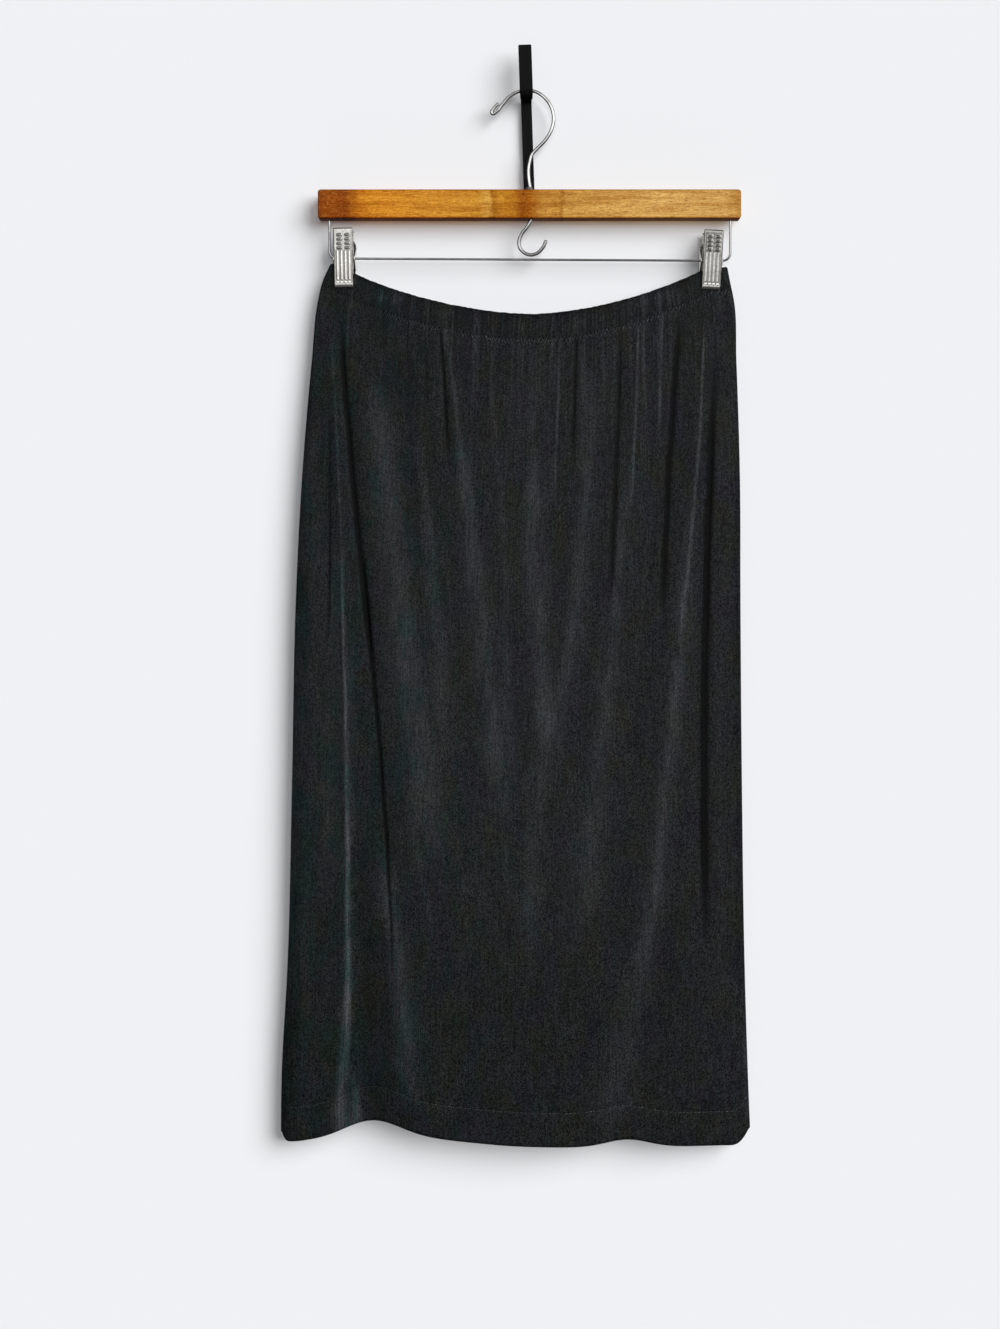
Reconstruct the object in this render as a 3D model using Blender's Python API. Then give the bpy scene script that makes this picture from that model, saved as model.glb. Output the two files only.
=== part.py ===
"""Pull-on midi skirt on a wooden clip hanger, hung on a flat strip wall hook.

Metres, +Z up. The wall is the plane y = 0 and everything stands in front of it, at negative y.
The origin is the middle of the wall hook's back face, on the wall.

The skirt is a tube of slinky knit: a front and a back panel joined at the sides, a gathered elastic
casing round the waist and a turned-up hem. Both layers of the casing are held by two clips, so the
waist sags between them, and folds run down from the gathers towards the middle of the skirt.
"""

import math

import bmesh
import bpy
import numpy as np
from mathutils import Matrix

MM = 0.001
GAP = 0.3 * MM  # air left between pieces that touch
ROUND_STEPS = 20  # facets round a turned piece
BORE_STEPS = 16  # facets round a bore
BEND_STEPS = 5  # steps round a bend of a wire or a strip
SHARP_ANGLE = 35.0  # edges sharper than this stay crisp (degrees)

# Wall hook: one flat strip, bent out from the wall and up
STRIP_THICK = 5.0 * MM
STRIP_PLATE_WIDTH = 9.0 * MM
STRIP_PRONG_WIDTH = 11.0 * MM
STRIP_REACH = 22.5 * MM
STRIP_LEAN = 1.9  # degrees
STRIP_BEND_RADIUS = 5.0 * MM  # of the strip's middle
STRIP_PLATE_LOW = -50.0 * MM
STRIP_SHELF_TOP = 51.0 * MM
STRIP_PRONG_TOP = 90.0 * MM

# Hanger: a wooden bar, and one steel wire through it that is hooked at both ends
HANGER_X = 1.0 * MM
HANGER_Y = -13.5 * MM
BAR_LENGTH = 356.0 * MM
BAR_HEIGHT = 24.4 * MM
BAR_DEPTH = 14.0 * MM
BAR_TOP = -31.1 * MM
BAR_CORNER = 4.0 * MM
BAR_EDGE = 1.3 * MM
HOOK_WIRE = 3.0 * MM
HOOK_BEND_STEP = 3.2 * MM  # spacing of the points along a bend
HOOK_COLLAR_RADIUS = 2.7 * MM
HOOK_COLLAR_HEIGHT = 3.0 * MM
HOOK_POINTS = (
    # the wire's middle line from its doubled-back end, over the loop and down to the stem (mm)
    (-25.2, 43.6), (-30.4, 38.0), (-31.3, 35.6), (-29.6, 33.8), (-27.3, 34.7), (-21.6, 41.9),
    (-15.8, 48.4), (-9.4, 52.3), (-1.6, 53.7), (7.2, 52.2), (14.1, 47.3), (18.6, 41.2), (21.2, 33.4),
    (21.2, 26.6), (18.8, 18.8), (14.0, 11.2), (7.6, 4.6), (2.8, -1.0), (1.0, -7.4),
)
LOWER_HOOK_POINTS = (
    # and below the bar, round the small hook to its tip (mm)
    (1.0, -58.0), (-1.3, -62.0), (-5.2, -66.9), (-7.6, -72.6), (-7.2, -78.6), (-3.4, -83.2), (2.4, -85.1),
    (8.0, -83.4), (12.2, -79.0), (15.4, -72.4),
)

# Clip rail: thinner wire, bent down at both ends of the bar
RAIL_WIRE = 2.0 * MM
RAIL_LEFT = (-167.6 * MM, -88.1 * MM)
RAIL_RIGHT = (170.4 * MM, -90.0 * MM)
RAIL_BEND = 6.5 * MM
RAIL_SOCKET = 8.0 * MM  # length of each leg inside the bar

# Clips: two pressed steel jaws and a spring on the rail
CLIPS = {
    # x of the clip's middle, turn about its upright, lean in the wall's plane (degrees)
    "left": {"x": -155.0 * MM, "turn": -5.0, "lean": 0.0},
    "right": {"x": 154.4 * MM, "turn": 5.0, "lean": 2.0},
}
JAW_WIDTH = 16.5 * MM
JAW_THICK = 1.2 * MM
JAW_PROFILE = (
    # height from the rail, outer face from the clip's middle plane (mm)
    (24.0, 9.4), (22.4, 9.8), (10.0, 8.2), (0.0, 7.0), (-10.0, 6.0), (-21.0, 4.6), (-24.6, 4.4),
)
EAR_THICK = 1.0 * MM
EAR_TOP = 9.0 * MM
EAR_LOW = -7.0 * MM
EAR_RADIUS = 3.6 * MM
EAR_ROUND = 10.0  # from the upright to where the ear's round end starts (degrees)
EAR_HOLE = 2.1 * MM
SPRING_INNER = 1.8 * MM
SPRING_OUTER = 3.2 * MM
SPRING_LENGTH = 8.0 * MM

# Cloth
PANEL_WALL = 1.2 * MM
HEM_WALL = 2.1 * MM  # the turned-up hem is two layers
BAND_WALL = 2.0 * MM  # the casing is two layers with the elastic between them
PANEL_HALF = 2.0 * MM  # outer face to the middle plane where the two layers lie together
BAND_HALF = 2.6 * MM
BAND_MIDDLE_HEIGHT = 22.0 * MM
BAND_CLIP_HEIGHT = 19.0 * MM
HEM_DEPTH = 28.0 * MM
HEM_STEP = 1.0 * MM  # over which the wall thickens at the hem's stitching
TURN_REACH = 142.0 * MM  # the layers part between the clips, this far from the middle
TURN_WIDTH = 18.0 * MM
PART_TOP = -118.0 * MM
PART_LOW = -260.0 * MM  # from here down the skirt is an open tube
TUBE_SQUARE = 3.2  # powers of the tube's section: the larger, the flatter its middle
TUBE_ROUND = 0.55  # and the smaller, the rounder its sides
CLOTH_SHARP_ANGLE = 50.0

WAIST_LOW_X = 3.8 * MM
WAIST_LOW_Z = -136.4 * MM
WAIST_SAG = {
    # each side of the low point: reach to the clip, rise there, power of the curve, most it rises
    -1: {"reach": 158.0 * MM, "rise": 38.4 * MM, "power": 2.0, "most": 43.5 * MM},
    +1: {"reach": 152.0 * MM, "rise": 42.0 * MM, "power": 1.78, "most": 40.8 * MM},
}
WAIST_LEVEL = -100.0 * MM
HEM_LEVEL = -825.0 * MM
HEM_LOW_Z = -833.0 * MM

SECTION_COLUMNS = ("height", "left", "right", "front", "back")
SECTIONS = (
    # height, left and right side of the skirt, bulge of its front and of its back (mm)
    (-835.0, -207.0, 186.0, 17.0, 6.0),
    (-780.0, -206.0, 184.0, 18.0, 6.2),
    (-680.0, -201.7, 181.3, 19.5, 6.4),
    (-530.0, -198.2, 179.2, 20.0, 6.4),
    (-376.0, -195.0, 178.0, 18.5, 6.2),
    (-275.0, -189.9, 177.6, 16.0, 6.0),
    (-174.0, -181.5, 174.6, 12.0, 5.6),
    (-123.0, -176.4, 172.7, 8.5, 5.0),
    (-108.0, -173.6, 170.4, 7.5, 4.8),
    (-92.0, -166.5, 167.3, 7.0, 4.5),
)

HEM_COLUMNS = ("x", "half_width", "rise")
HEM_WAVES = (
    # soft lifts of the hem's edge above its lowest level (mm)
    (-133.0, 34.0, 13.0),
    (-115.0, 80.0, 8.5),
    (82.0, 26.0, 6.0),
    (-208.0, 9.0, 8.0),
    (189.0, 13.0, 15.0),
)

FOLD_COLUMNS = ("z_from", "z_to", "x_from", "x_middle", "x_to", "half_width", "height")
FRONT_FOLDS = {
    # ridges stand out, and troughs, with a negative height, go in (mm)
    "left edge ridge": (-160.0, -835.0, -166.0, -153.5, -157.0, 8.0, 3.4),
    "left deep crease": (-140.0, -700.0, -156.0, -134.0, -112.0, 8.0, -4.2),
    "left drape": (-250.0, -600.0, -121.0, -104.0, -84.0, 17.0, 2.8),
    "left gather": (-140.0, -470.0, -72.0, -53.0, -26.0, 9.0, 2.6),
    "centre drape": (-290.0, -620.0, 11.0, 10.0, 2.0, 14.0, 1.6),
    "middle gather": (-150.0, -520.0, 60.0, 42.0, 18.0, 9.0, 2.2),
    "right gather": (-130.0, -720.0, 90.0, 80.0, 32.0, 11.0, 2.8),
    "right drape": (-130.0, -720.0, 146.0, 124.0, 84.0, 10.0, 3.6),
    "right deep crease": (-150.0, -660.0, 154.0, 146.0, 146.0, 8.0, -4.2),
    "left hem fold": (-620.0, -990.0, -128.0, -132.0, -130.0, 26.0, -5.0),
    "middle hem swell": (-640.0, -990.0, 10.0, 14.0, 22.0, 60.0, 3.0),
    "right hem fold": (-640.0, -990.0, 92.0, 84.0, 82.0, 22.0, -3.0),
}
BACK_FOLDS = {
    "left crease": (-140.0, -690.0, -150.0, -138.0, -122.0, 10.0, -3.4),
    "left gather": (-140.0, -560.0, -92.0, -70.0, -46.0, 12.0, 1.6),
    "centre gather": (-150.0, -480.0, 6.0, 2.0, 6.0, 13.0, -2.6),
    "right gather": (-140.0, -600.0, 86.0, 70.0, 48.0, 12.0, 1.6),
    "right crease": (-150.0, -650.0, 146.0, 138.0, 128.0, 10.0, -3.4),
    "left hem fold": (-640.0, -990.0, -96.0, -104.0, -110.0, 30.0, -2.6),
    "right hem fold": (-640.0, -990.0, 106.0, 112.0, 118.0, 26.0, -2.4),
}
FOLD_FADE = 0.16  # share of a fold's length over which each end dies away
FOLD_MARGIN = 0.035  # share of the half width at each side that stays free of folds

SIDE_STEPS = 4  # steps round each turned side of a panel
PANEL_ROWS = 12
BAND_ROWS = 2
FRONT = {"side": -1, "bulge": "front", "folds": FRONT_FOLDS, "columns": 46, "lower": 0.0}
BACK = {"side": +1, "bulge": "back", "folds": BACK_FOLDS, "columns": 34, "lower": 2.0 * MM}

BLACK_KNIT = ((0.012, 0.013, 0.015), 0.55, 0.0)
BLACK_STEEL = ((0.008, 0.008, 0.008), 0.5, 0.3)
CHROME = ((0.72, 0.72, 0.72), 0.18, 1.0)
NICKEL = ((0.62, 0.61, 0.58), 0.3, 1.0)
STAINED_WOOD = ((0.52, 0.24, 0.06), 0.42, 0.0)


def material(name, finish):
    """Principled material of one finish: colour, roughness and metallic."""
    colour, roughness, metallic = finish
    made = bpy.data.materials.new(name)
    made.use_nodes = True
    shader = made.node_tree.nodes["Principled BSDF"]
    shader.inputs["Base Color"].default_value = (*colour, 1.0)
    shader.inputs["Roughness"].default_value = roughness
    shader.inputs["Metallic"].default_value = metallic
    return made


def add_object(name, data, finish):
    """One named piece with its own material."""
    data.materials.append(material(name, finish))
    made = bpy.data.objects.new(name, data)
    bpy.context.scene.collection.objects.link(made)
    return made


def add_helper(name, mesh):
    """A shape that only cuts or joins, left out of the part."""
    made = bpy.data.objects.new(name, mesh)
    bpy.context.scene.collection.objects.link(made)
    made.hide_render = True
    made.display_type = "WIRE"
    return made


def boolean(piece, helper, operation):
    """Exact Boolean of a piece with a helper."""
    made = piece.modifiers.new(helper.name, "BOOLEAN")
    made.operation = operation
    made.solver = "EXACT"
    made.object = helper


def mesh_of(name, work):
    """A mesh from a bmesh, with its faces turned outward and its round faces shaded smooth."""
    bmesh.ops.recalc_face_normals(work, faces=work.faces)
    mesh = bpy.data.meshes.new(name)
    work.to_mesh(mesh)
    work.free()
    mesh.shade_smooth()
    mesh.set_sharp_from_angle(angle=math.radians(SHARP_ANGLE))
    return mesh


def prism(outline, depth):
    """A bmesh of an outline in the XZ plane, carried from y = -depth / 2 to depth / 2."""
    work = bmesh.new()
    face = work.faces.new([work.verts.new((x, -depth / 2, z)) for x, z in outline])
    grown = bmesh.ops.extrude_face_region(work, geom=[face])["geom"]
    moved = [item for item in grown if isinstance(item, bmesh.types.BMVert)]
    bmesh.ops.translate(work, verts=moved, vec=(0, depth, 0))
    return work


def cylinder(radius, length, segments, direction, middle):
    """A bmesh of a round bar along "X" or "Z", centred on a point."""
    work = bmesh.new()
    bmesh.ops.create_cone(
        work, cap_ends=True, segments=segments, radius1=radius, radius2=radius, depth=length
    )
    if direction == "X":
        bmesh.ops.rotate(work, verts=work.verts, matrix=Matrix.Rotation(math.pi / 2, 3, "Y"))
    bmesh.ops.translate(work, verts=work.verts, vec=middle)
    return work


def arc(centre, radius, start, end, steps):
    """Points of an arc, its angles in degrees from the first axis towards the second."""
    angles = np.radians(np.linspace(start, end, steps + 1))
    return np.column_stack([centre[0] + radius * np.cos(angles), centre[1] + radius * np.sin(angles)])


def bent_line(points, spacing):
    """A smooth line through points: cubic pieces whose slopes come from the neighbouring points."""
    points = np.asarray(points)
    run = np.append(0, np.cumsum(np.linalg.norm(np.diff(points, axis=0), axis=1)))
    slopes = np.gradient(points, run, axis=0)
    made = [points[:1]]
    for i, length in enumerate(np.diff(run)):
        t = np.linspace(0, 1, max(2, math.ceil(length / spacing) + 1))[1:, None]
        made.append(
            (2 * t**3 - 3 * t**2 + 1) * points[i]
            + (t**3 - 2 * t**2 + t) * length * slopes[i]
            + (3 * t**2 - 2 * t**3) * points[i + 1]
            + (t**3 - t**2) * length * slopes[i + 1]
        )
    return np.vstack(made)


def wire(name, path, diameter, finish):
    """Round wire along points (x, z) in the hanger's plane, with filled ends."""
    line = bpy.data.curves.new(name, "CURVE")
    line.dimensions = "3D"
    line.bevel_depth = diameter / 2
    line.bevel_resolution = 3
    line.use_fill_caps = True
    spline = line.splines.new("POLY")
    spline.points.add(len(path) - 1)
    for point, (x, z) in zip(spline.points, path):
        point.co = (x, HANGER_Y, z, 1.0)
    return add_object(name, line, finish)


def wall_hook():
    """Strip bent twice: flat on the wall, out as a shelf and up as a wider prong."""
    radius = STRIP_BEND_RADIUS
    back, front = -STRIP_THICK / 2, -STRIP_REACH + STRIP_THICK / 2
    shelf = STRIP_SHELF_TOP - STRIP_THICK / 2
    line = np.vstack([
        [(back, STRIP_PLATE_LOW)],
        arc((back - radius, shelf - radius), radius, 0, 90, BEND_STEPS),
        arc((front + radius, shelf + radius), radius, 270, 180, BEND_STEPS),
        [(front, STRIP_PRONG_TOP)],
    ])
    along = np.gradient(line, axis=0)
    along = along / np.linalg.norm(along, axis=1)[:, None]
    off = np.column_stack([-along[:, 1], along[:, 0]]) * STRIP_THICK / 2
    forward = (line[:, 0] - back) / (front - back)
    half = (STRIP_PLATE_WIDTH + (STRIP_PRONG_WIDTH - STRIP_PLATE_WIDTH) * forward) / 2
    work = bmesh.new()
    rings = []
    for (y, z), (dy, dz), x in zip(line, off, half):
        corners = ((-x, y - dy, z - dz), (x, y - dy, z - dz), (x, y + dy, z + dz), (-x, y + dy, z + dz))
        rings.append([work.verts.new(corner) for corner in corners])
    for lower, upper in zip(rings, rings[1:]):
        for i in range(4):
            work.faces.new((lower[i], lower[i - 1], upper[i - 1], upper[i]))
    work.faces.new(rings[0])
    work.faces.new(rings[-1])
    lean = Matrix.Rotation(-math.radians(STRIP_LEAN), 3, "Y")
    bmesh.ops.rotate(work, verts=work.verts, matrix=lean)
    add_object("wall_hook", mesh_of("wall_hook", work), BLACK_STEEL)


def hanger_hook():
    """One wire: doubled-back end, loop, stem through the bar and the small hook below it."""
    upper = bent_line(np.array(HOOK_POINTS) * MM, HOOK_BEND_STEP)
    lower = bent_line(np.array(LOWER_HOOK_POINTS) * MM, HOOK_BEND_STEP)
    wire("hanger_hook", np.vstack([upper, lower]), HOOK_WIRE, CHROME)


def hook_collar():
    """Pressed ring round the stem, just on top of the bar."""
    middle = (HANGER_X, HANGER_Y, BAR_TOP + GAP + HOOK_COLLAR_HEIGHT / 2)
    ring = cylinder(HOOK_COLLAR_RADIUS, HOOK_COLLAR_HEIGHT, ROUND_STEPS, "Z", middle)
    bore = cylinder(HOOK_WIRE / 2 + GAP, 2 * HOOK_COLLAR_HEIGHT, ROUND_STEPS, "Z", middle)
    made = add_object("hook_collar", mesh_of("hook_collar", ring), CHROME)
    boolean(made, add_helper("collar_bore", mesh_of("collar_bore", bore)), "DIFFERENCE")


def hanger_bar():
    """Wooden bar with round corners and softened edges, bored for the hook and the rail's legs."""
    middle = BAR_TOP - BAR_HEIGHT / 2
    wide, high = BAR_LENGTH / 2 - BAR_CORNER, BAR_HEIGHT / 2 - BAR_CORNER
    corners = ((wide, high, 0), (-wide, high, 90), (-wide, -high, 180), (wide, -high, 270))
    turns = [arc((x, z), BAR_CORNER, start, start + 90, BEND_STEPS) for x, z, start in corners]
    work = prism(np.vstack(turns), BAR_DEPTH)
    bmesh.ops.translate(work, verts=work.verts, vec=(HANGER_X, HANGER_Y, middle))
    made = add_object("hanger_bar", mesh_of("hanger_bar", work), STAINED_WOOD)
    edges = made.modifiers.new("softened edges", "BEVEL")
    edges.width = BAR_EDGE
    edges.segments = 2
    edges.limit_method = "ANGLE"
    bottom = BAR_TOP - BAR_HEIGHT
    bores = {
        "stem_bore": (HANGER_X, HOOK_WIRE / 2 + GAP, 2 * BAR_HEIGHT, middle),
        "left_socket": (RAIL_LEFT[0], RAIL_WIRE / 2 + GAP, 2 * (RAIL_SOCKET + GAP), bottom),
        "right_socket": (RAIL_RIGHT[0], RAIL_WIRE / 2 + GAP, 2 * (RAIL_SOCKET + GAP), bottom),
    }
    for name, (x, radius, length, height) in bores.items():
        work = cylinder(radius, length, BORE_STEPS, "Z", (x, HANGER_Y, height))
        boolean(made, add_helper(name, mesh_of(name, work)), "DIFFERENCE")


def clip_rail():
    """Wire that leaves the bar near each end and runs across under it."""
    top = BAR_TOP - BAR_HEIGHT + RAIL_SOCKET
    (left, left_z), (right, right_z) = RAIL_LEFT, RAIL_RIGHT
    path = np.vstack([
        [(left, top)],
        arc((left + RAIL_BEND, left_z + RAIL_BEND), RAIL_BEND, 180, 270, BEND_STEPS),
        arc((right - RAIL_BEND, right_z + RAIL_BEND), RAIL_BEND, 270, 360, BEND_STEPS),
        [(right, top)],
    ])
    wire("clip_rail", path, RAIL_WIRE, CHROME)


def rail_height(x):
    """Height of the straight rail's middle at x."""
    share = (x - RAIL_LEFT[0]) / (RAIL_RIGHT[0] - RAIL_LEFT[0])
    return RAIL_LEFT[1] + (RAIL_RIGHT[1] - RAIL_LEFT[1]) * share


def place_on_rail(piece, clip):
    """Puts a piece, made round the origin, where its clip sits on the rail."""
    piece.location = (clip["x"], HANGER_Y, rail_height(clip["x"]))
    piece.rotation_euler = (0, math.radians(clip["lean"]), math.radians(clip["turn"]))


def jaw_plate(side):
    """The jaw's pressed plate: its profile as a strip, carried across its width."""
    profile = np.array(JAW_PROFILE) * MM
    outer = np.column_stack([side * profile[:, 1], profile[:, 0]])
    inner = outer - (side * JAW_THICK, 0)
    work = prism(np.vstack([outer, inner[::-1]]), JAW_WIDTH)
    bmesh.ops.rotate(work, verts=work.verts, matrix=Matrix.Rotation(math.pi / 2, 3, "Z"))
    return work


def jaw_ear(side, x):
    """Ear that reaches from the plate round the rail, one each side of the jaw."""
    overlap = JAW_THICK / 2
    plate = JAW_PROFILE[3][1] * MM - overlap
    tip = arc((0, 0), EAR_RADIUS, 90 + EAR_ROUND, 270 - EAR_ROUND, BEND_STEPS + 1)
    outline = np.vstack([[(plate, EAR_LOW)], [(plate, EAR_TOP)], tip])
    work = prism(outline * (side, 1), EAR_THICK)
    bmesh.ops.rotate(work, verts=work.verts, matrix=Matrix.Rotation(math.pi / 2, 3, "Z"))
    bmesh.ops.translate(work, verts=work.verts, vec=(x, 0, 0))
    return work


def clip(name, clip_place):
    """A front and a back jaw whose ears nest on the rail, and the spring between them."""
    hole = f"clip_{name}_rail_hole"
    through = cylinder(EAR_HOLE, 2 * JAW_WIDTH, BORE_STEPS, "X", (0, 0, 0))
    cutter = add_helper(hole, mesh_of(hole, through))
    place_on_rail(cutter, clip_place)
    outer_ear = JAW_WIDTH / 2 - EAR_THICK / 2
    jaws = {"front": (-1, outer_ear), "back": (1, outer_ear - EAR_THICK - GAP)}
    for jaw, (side, ear_x) in jaws.items():
        node = f"clip_{name}_{jaw}_jaw"
        made = add_object(node, mesh_of(node, jaw_plate(side)), NICKEL)
        place_on_rail(made, clip_place)
        for x in (-ear_x, ear_x):
            ear_name = f"{node}_ear_{'left' if x < 0 else 'right'}"
            ear = add_helper(ear_name, mesh_of(ear_name, jaw_ear(side, x)))
            place_on_rail(ear, clip_place)
            boolean(made, ear, "UNION")
        boolean(made, cutter, "DIFFERENCE")
    node = f"clip_{name}_spring"
    coil = cylinder(SPRING_OUTER, SPRING_LENGTH, ROUND_STEPS, "X", (0, 0, 0))
    bore = cylinder(SPRING_INNER, 2 * SPRING_LENGTH, ROUND_STEPS, "X", (0, 0, 0))
    made = add_object(node, mesh_of(node, coil), NICKEL)
    helper = add_helper(f"{node}_bore", mesh_of(f"{node}_bore", bore))
    place_on_rail(made, clip_place)
    place_on_rail(helper, clip_place)
    boolean(made, helper, "DIFFERENCE")


def smooth_step(start, end, value):
    """0 before start, 1 after end, with a soft S between; start may be the larger."""
    share = np.clip((value - start) / (end - start), 0, 1)
    return share * share * (3 - 2 * share)


def section(column, height):
    """One column of the section table at any height, as a smooth curve through its rows."""
    table = np.array(SECTIONS) * MM
    heights, values = table[:, 0], table[:, SECTION_COLUMNS.index(column)]
    slopes = np.gradient(values, heights)
    i = np.clip(np.searchsorted(heights, height) - 1, 0, len(heights) - 2)
    length = heights[i + 1] - heights[i]
    t = np.clip((height - heights[i]) / length, 0, 1)
    return (
        (2 * t**3 - 3 * t**2 + 1) * values[i]
        + (t**3 - 2 * t**2 + t) * length * slopes[i]
        + (3 * t**2 - 2 * t**3) * values[i + 1]
        + (t**3 - t**2) * length * slopes[i + 1]
    )


def across(u, height):
    """x of the place u, from -1 at the skirt's left side to 1 at its right side."""
    left, right = section("left", height), section("right", height)
    return (left + right) / 2 + u * (right - left) / 2


def waist_edge(u):
    """Height of the top edge: it sags between the clips and is level beyond them."""
    x = across(u, WAIST_LEVEL) - WAIST_LOW_X
    rise = np.zeros_like(x)
    for side, sag in WAIST_SAG.items():
        away = np.clip(side * x, 0, None) / sag["reach"]
        rise += np.minimum(sag["rise"] * away ** sag["power"], sag["most"])
    return WAIST_LOW_Z + rise


def band_height(u):
    """Height of the casing, a little less at the clips, where it leans in."""
    return BAND_MIDDLE_HEIGHT + (BAND_CLIP_HEIGHT - BAND_MIDDLE_HEIGHT) * u**2


def hem_edge(u):
    """Height of the bottom edge: its lowest level and the lifts of the hem table."""
    x = across(u, HEM_LEVEL)
    lift = 0
    for row in HEM_WAVES:
        wave = dict(zip(HEM_COLUMNS, np.array(row) * MM))
        lift = lift + wave["rise"] * np.exp(-(((x - wave["x"]) / wave["half_width"]) ** 2))
    return HEM_LOW_Z + lift


def middle_plane(x, z):
    """y of the plane between the layers, turned a little with each clip."""
    y = HANGER_Y + 0 * x
    for clip_place in CLIPS.values():
        off = x - clip_place["x"]
        near = np.exp(-((off / TURN_WIDTH) ** 2)) * smooth_step(PART_LOW, PART_TOP, z)
        y = y + math.tan(math.radians(clip_place["turn"])) * off * near
    return y


def folds(rows, x, z):
    """How far the folds stand out: bells across, each along a curve through three places."""
    height = 0
    for row in rows.values():
        fold = dict(zip(FOLD_COLUMNS, np.array(row) * MM))
        t = (fold["z_from"] - z) / (fold["z_from"] - fold["z_to"])
        middle = (
            fold["x_from"] * (1 - t) * (1 - 2 * t)
            + fold["x_middle"] * 4 * t * (1 - t)
            + fold["x_to"] * t * (2 * t - 1)
        )
        bell = np.exp(-(((x - middle) / fold["half_width"]) ** 2))
        ends = smooth_step(0, FOLD_FADE, t) * smooth_step(1, 1 - FOLD_FADE, t)
        height = height + fold["height"] * bell * ends
    return height


def cloth_face(layer, u, z, half):
    """Points of a layer's outer face at places u and heights z.

    It stands off the middle plane by half, rounded at the sides, plus the section's bulge and the folds.
    """
    x = across(u, z)
    round_share = half / ((section("right", z) - section("left", z)) / 2)
    turned = np.clip((1 - np.abs(u)) / round_share, 0, 1)
    side = np.sqrt(1 - (1 - turned) ** 2)
    held = np.clip(1 - (x / TURN_REACH) ** 2, 0, None)
    tube = (1 - np.abs(u) ** TUBE_SQUARE) ** TUBE_ROUND
    opened = smooth_step(PART_TOP, PART_LOW, z)
    bulge = section(layer["bulge"], z) * (held + (tube - held) * opened)
    relief = folds(layer["folds"], x, z) * smooth_step(0, FOLD_MARGIN, 1 - np.abs(u))
    stand_off = GAP / 2 + (half - GAP / 2) * side + bulge + relief
    return np.stack([x, middle_plane(x, z) + layer["side"] * stand_off, z], axis=-1)


def cloth_places(layer, half):
    """Places u of a layer's columns: even steps, and short steps round each turned side."""
    reach = half / (section("right", WAIST_LEVEL) - section("left", WAIST_LEVEL)) * 2
    turn = np.radians(np.linspace(0, 90, SIDE_STEPS + 1))
    sides = reach * (1 - np.cos(turn))
    middle = np.linspace(-1 + reach, 1 - reach, layer["columns"] + 1)
    return np.concatenate([sides[:-1] - 1, middle, 1 - sides[-2::-1]])


def cloth_wall(name, face, walls, side):
    """A closed wall: the outer face's points, the same moved in by each row's wall, and rims."""
    along = np.gradient(face, axis=1)
    down = np.gradient(face, axis=0)
    normal = np.cross(along, down) * side
    normal[:, 0] = (-1, 0, 0)
    normal[:, -1] = (1, 0, 0)
    normal /= np.linalg.norm(normal, axis=2)[:, :, None]
    inner = face - normal * walls[:, None, None]
    rows, columns = face.shape[:2]
    count = rows * columns
    index = np.arange(count).reshape(rows, columns)
    corners = [index[:-1, :-1], index[1:, :-1], index[1:, 1:], index[:-1, 1:]]
    quads = np.stack(corners, axis=-1).reshape(-1, 4)
    rim = np.concatenate([index[0, :-1], index[:-1, -1], index[-1, :0:-1], index[:0:-1, 0]])
    turn = np.roll(rim, -1)
    edge = np.column_stack([rim, turn, turn + count, rim + count])
    faces = np.vstack([quads, quads[:, ::-1] + count, edge])
    mesh = bpy.data.meshes.new(name)
    points = np.vstack([face.reshape(-1, 3), inner.reshape(-1, 3)])
    mesh.from_pydata(points.tolist(), [], faces.tolist())
    work = bmesh.new()
    work.from_mesh(mesh)
    bmesh.ops.recalc_face_normals(work, faces=work.faces)
    work.to_mesh(mesh)
    work.free()
    mesh.shade_smooth()
    mesh.set_sharp_from_angle(angle=math.radians(CLOTH_SHARP_ANGLE))
    return add_object(name, mesh, BLACK_KNIT)


def waistband(name, layer):
    """One side of the elastic casing, from the top edge down to its stitching."""
    u = cloth_places(layer, BAND_HALF)
    share = np.linspace(0, 1, BAND_ROWS + 1)[:, None]
    z = waist_edge(u) - layer["lower"] - band_height(u) * share
    face = cloth_face(layer, u + 0 * z, z, BAND_HALF)
    cloth_wall(name, face, np.full(len(face), BAND_WALL), layer["side"])


def skirt_panel(name, layer):
    """One panel, from under the casing to the hem, thicker where the hem is turned up."""
    u = cloth_places(layer, PANEL_HALF)
    top = waist_edge(u) - layer["lower"] - band_height(u) - GAP
    bottom = hem_edge(u) - layer["lower"]
    stitching = bottom + HEM_DEPTH
    share = np.linspace(0, 1, PANEL_ROWS + 1)[:, None]
    z = np.vstack([top + (stitching - top) * share, stitching - HEM_STEP, bottom])
    walls = np.append(np.full(PANEL_ROWS + 1, PANEL_WALL), [HEM_WALL, HEM_WALL])
    cloth_wall(name, cloth_face(layer, u + 0 * z, z, PANEL_HALF), walls, layer["side"])


for old in list(bpy.data.objects):
    bpy.data.objects.remove(old)
wall_hook()
hanger_hook()
hook_collar()
hanger_bar()
clip_rail()
for clip_name, place in CLIPS.items():
    clip(clip_name, place)
waistband("waistband_front", FRONT)
waistband("waistband_back", BACK)
skirt_panel("skirt_front", FRONT)
skirt_panel("skirt_back", BACK)
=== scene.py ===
"""Looks of a midi skirt clipped to a wooden hanger that hangs on a flat strip wall hook.

Metres, +Z up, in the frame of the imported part: the wall is the plane y = 0, everything stands in front
of it at negative y, and the origin is the middle of the wall hook's back face.
Every piece is a surface worked out here, in the place of the plain solid that it stands for.
"""

import math

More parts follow.
